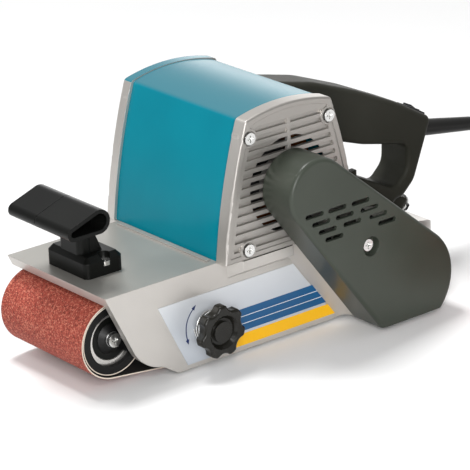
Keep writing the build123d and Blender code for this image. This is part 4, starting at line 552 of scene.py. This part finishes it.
def addPlateArt(plan):
    inkPatch("blueBand", plan, plan["blue"], "blueInk")
    inkPatch("yellowBand", plan, plan["yellow"], "yellowInk")
    for row, height in enumerate(plan["lineHeights"]):
        (topX, topZ), (footX, footZ) = plan["blue"][1:3]
        end = topX + (footX - topX) * (topZ - height) / (topZ - footZ)
        low = height - plan["lineThick"]
        corners = ((plan["lineStart"], height), (end, height), (end, low), (plan["lineStart"], low))
        inkPatch(f"rowLine{row}", plan, corners, "whiteInk", layers=2)
    inkPatch("turnArrow", plan, arrowCorners(plan), "darkBlueInk")


addPlateArt(plateArt)
print("plate printed")

# cord with its put-away coil, on one line
cordPlan = {
    "points": (
        (277.71, -6.0, 100.97),
        (314.148, -6.0, 94.545),
        (342.0, -19.0, 68.0),
        (364.0, -45.0, 34.0),
        (372.0, -74.0, 14.0),
        (372.0, -96.0, 7.25),
        (372.0, -114.0, 7.25),
    ),
    "diameter": 9.5,
    "coilStep": 10.1,
    "innerRadius": 38.5,
    "turnsPerLayer": 2,
    "turns": 7.25,
    "lead": 10.0,
    "tail": 76.0,
    "pointsPerTurn": 24,
    "climb": 0.5,  # part of a turn in which the cord climbs to the next layer
    "roundSteps": 5,
    "curveSteps": 4,
}


def coilPoints(plan):
    step, perLayer = plan["coilStep"], plan["turnsPerLayer"]
    swing = step * perLayer
    startX, startY, startZ = plan["points"][-1]
    centreX, centreY = startX - plan["innerRadius"] - swing, startY - plan["lead"]
    swell = 8 / (6 + 2 * math.cos(2 * math.pi / plan["pointsPerTurn"]))  # the curve runs inside its points
    count = round(plan["turns"] * plan["pointsPerTurn"])
    points = []
    for index in range(count + 1):
        turn = index / plan["pointsPerTurn"]
        phase = turn % (2 * perLayer)
        radius = plan["innerRadius"] + swing * abs(phase - perLayer) / perLayer
        nearest = round(turn / perLayer)
        away = turn - nearest * perLayer
        if nearest and abs(away) < plan["climb"] / 2:
            share = away / plan["climb"] + 0.5
            ease = 2 * share**2 if share < 0.5 else 1 - 2 * (1 - share) ** 2
            rise = step * (nearest - 1 + ease)
        else:
            rise = step * int(turn / perLayer)
        angle = -2 * math.pi * turn
        grown = radius * (swell if 0 < index < count else 1)
        points.append((centreX + grown * math.cos(angle), centreY + grown * math.sin(angle), startZ + rise))
    lastX, lastY, lastZ = points[-1]
    points.append((lastX - plan["tail"] / 2, lastY, lastZ))
    points.append((lastX - plan["tail"], lastY, lastZ))
    return points


def addCord(plan):
    data = bpy.data.curves.new("cordLine", "CURVE")
    data.dimensions = "3D"
    data.bevel_depth = plan["diameter"] / 2 * mm
    data.bevel_resolution = plan["roundSteps"]
    data.use_fill_caps = True
    data.resolution_u = plan["curveSteps"]
    line = data.splines.new("NURBS")
    points = [*plan["points"], *coilPoints(plan)]
    line.points.add(len(points) - 1)
    for point, place in zip(line.points, points):
        point.co = (*(value * mm for value in place), 1.0)
    line.order_u = 3
    line.use_endpoint_u = True
    cord = bpy.data.objects.new("cordLine", data)
    scene.collection.objects.link(cord)
    data.materials.append(finishes["cordRubber"])
    return cord


cord = addCord(cordPlan)
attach(cord, "frame")
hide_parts("cord", "cord_coil")
print("cord laid")

# floor and light
lightPlan = {
    "floorSize": 24,
    "floorSeen": 0.92,
    "floorBounce": 0.6,
    "floorRough": 0.9,
    "floorGloss": 0.1,
    "sky": {"heading": (0.45, 0.85, 0.25), "span": (-0.5, 0.9), "reach": (0.17, 0.72)},
    "glow": {"heading": (0.66, 0.75, 0.04), "span": (0.94, 1.0), "reach": (0.0, 2.4)},
    "lamps": {
        "topLamp": {"place": (-0.12, 0.49, 1.92), "size": (0.55, 0.55), "power": 26},
        "keyLamp": {"place": (-1.15, -1.75, 0.75), "size": (0.9, 0.9), "power": 32},
        "glintLamp": {"place": (-0.9, -1.35, 1.35), "size": (0.25, 0.25), "power": 6},
    },
    "target": (0.0, 0.0, 0.06),
}


def addFloor(plan):
    bpy.ops.mesh.primitive_plane_add(size=plan["floorSize"], location=(0, 0, 0))
    floor = bpy.context.object
    floor.name = "floor"
    finish, tree, shader, where = newFinish("floorWhite")
    path = tree.nodes.new("ShaderNodeLightPath")
    seen = path.outputs["Is Camera Ray"]
    for ray in ("Is Glossy Ray", "Is Transmission Ray"):
        either = tree.nodes.new("ShaderNodeMath")
        either.operation = "MAXIMUM"
        tree.links.new(seen, either.inputs[0])
        tree.links.new(path.outputs[ray], either.inputs[1])
        seen = either.outputs["Value"]
    bounced, direct = ((level, level, level, 1) for level in (plan["floorBounce"], plan["floorSeen"]))
    tree.links.new(ramp(tree, seen, ((0.0, bounced), (1.0, direct))), shader.inputs["Base Color"])
    shader.inputs["Roughness"].default_value = plan["floorRough"]
    shader.inputs["Specular IOR Level"].default_value = plan["floorGloss"]
    floor.data.materials.append(finish)


def addLamp(name, plan, target):
    data = bpy.data.lights.new(name, "AREA")
    data.shape = "RECTANGLE"
    data.size, data.size_y = plan["size"]
    data.energy = plan["power"]
    lamp = bpy.data.objects.new(name, data)
    lamp.location = plan["place"]
    aim = Vector(target) - Vector(plan["place"])
    lamp.rotation_euler = aim.to_track_quat("-Z", "Y").to_euler()
    scene.collection.objects.link(lamp)


def skyLevel(tree, where, plan):  # light that grows towards a heading
    facing = tree.nodes.new("ShaderNodeVectorMath")
    facing.operation = "DOT_PRODUCT"
    facing.inputs[1].default_value = Vector(plan["heading"]).normalized()
    tree.links.new(where, facing.inputs[0])
    return mapRange(tree, facing.outputs["Value"], plan["span"], plan["reach"])


def addWorld(plan):  # paler behind the object than behind the camera, with a low glow
    world = bpy.data.worlds.new("studio")
    world.use_nodes = True
    tree = world.node_tree
    where = tree.nodes.new("ShaderNodeTexCoord").outputs["Generated"]
    both = tree.nodes.new("ShaderNodeMath")
    tree.links.new(skyLevel(tree, where, plan["sky"]), both.inputs[0])
    tree.links.new(skyLevel(tree, where, plan["glow"]), both.inputs[1])
    tree.links.new(both.outputs["Value"], tree.nodes["Background"].inputs["Strength"])
    tree.nodes["Background"].inputs["Color"].default_value = (1, 1, 1, 1)
    scene.world = world


addFloor(lightPlan)
addWorld(lightPlan)
for lampName, lampPlan in lightPlan["lamps"].items():
    addLamp(lampName, lampPlan, lightPlan["target"])
scene.view_settings.view_transform = "Standard"
print("stage lit")
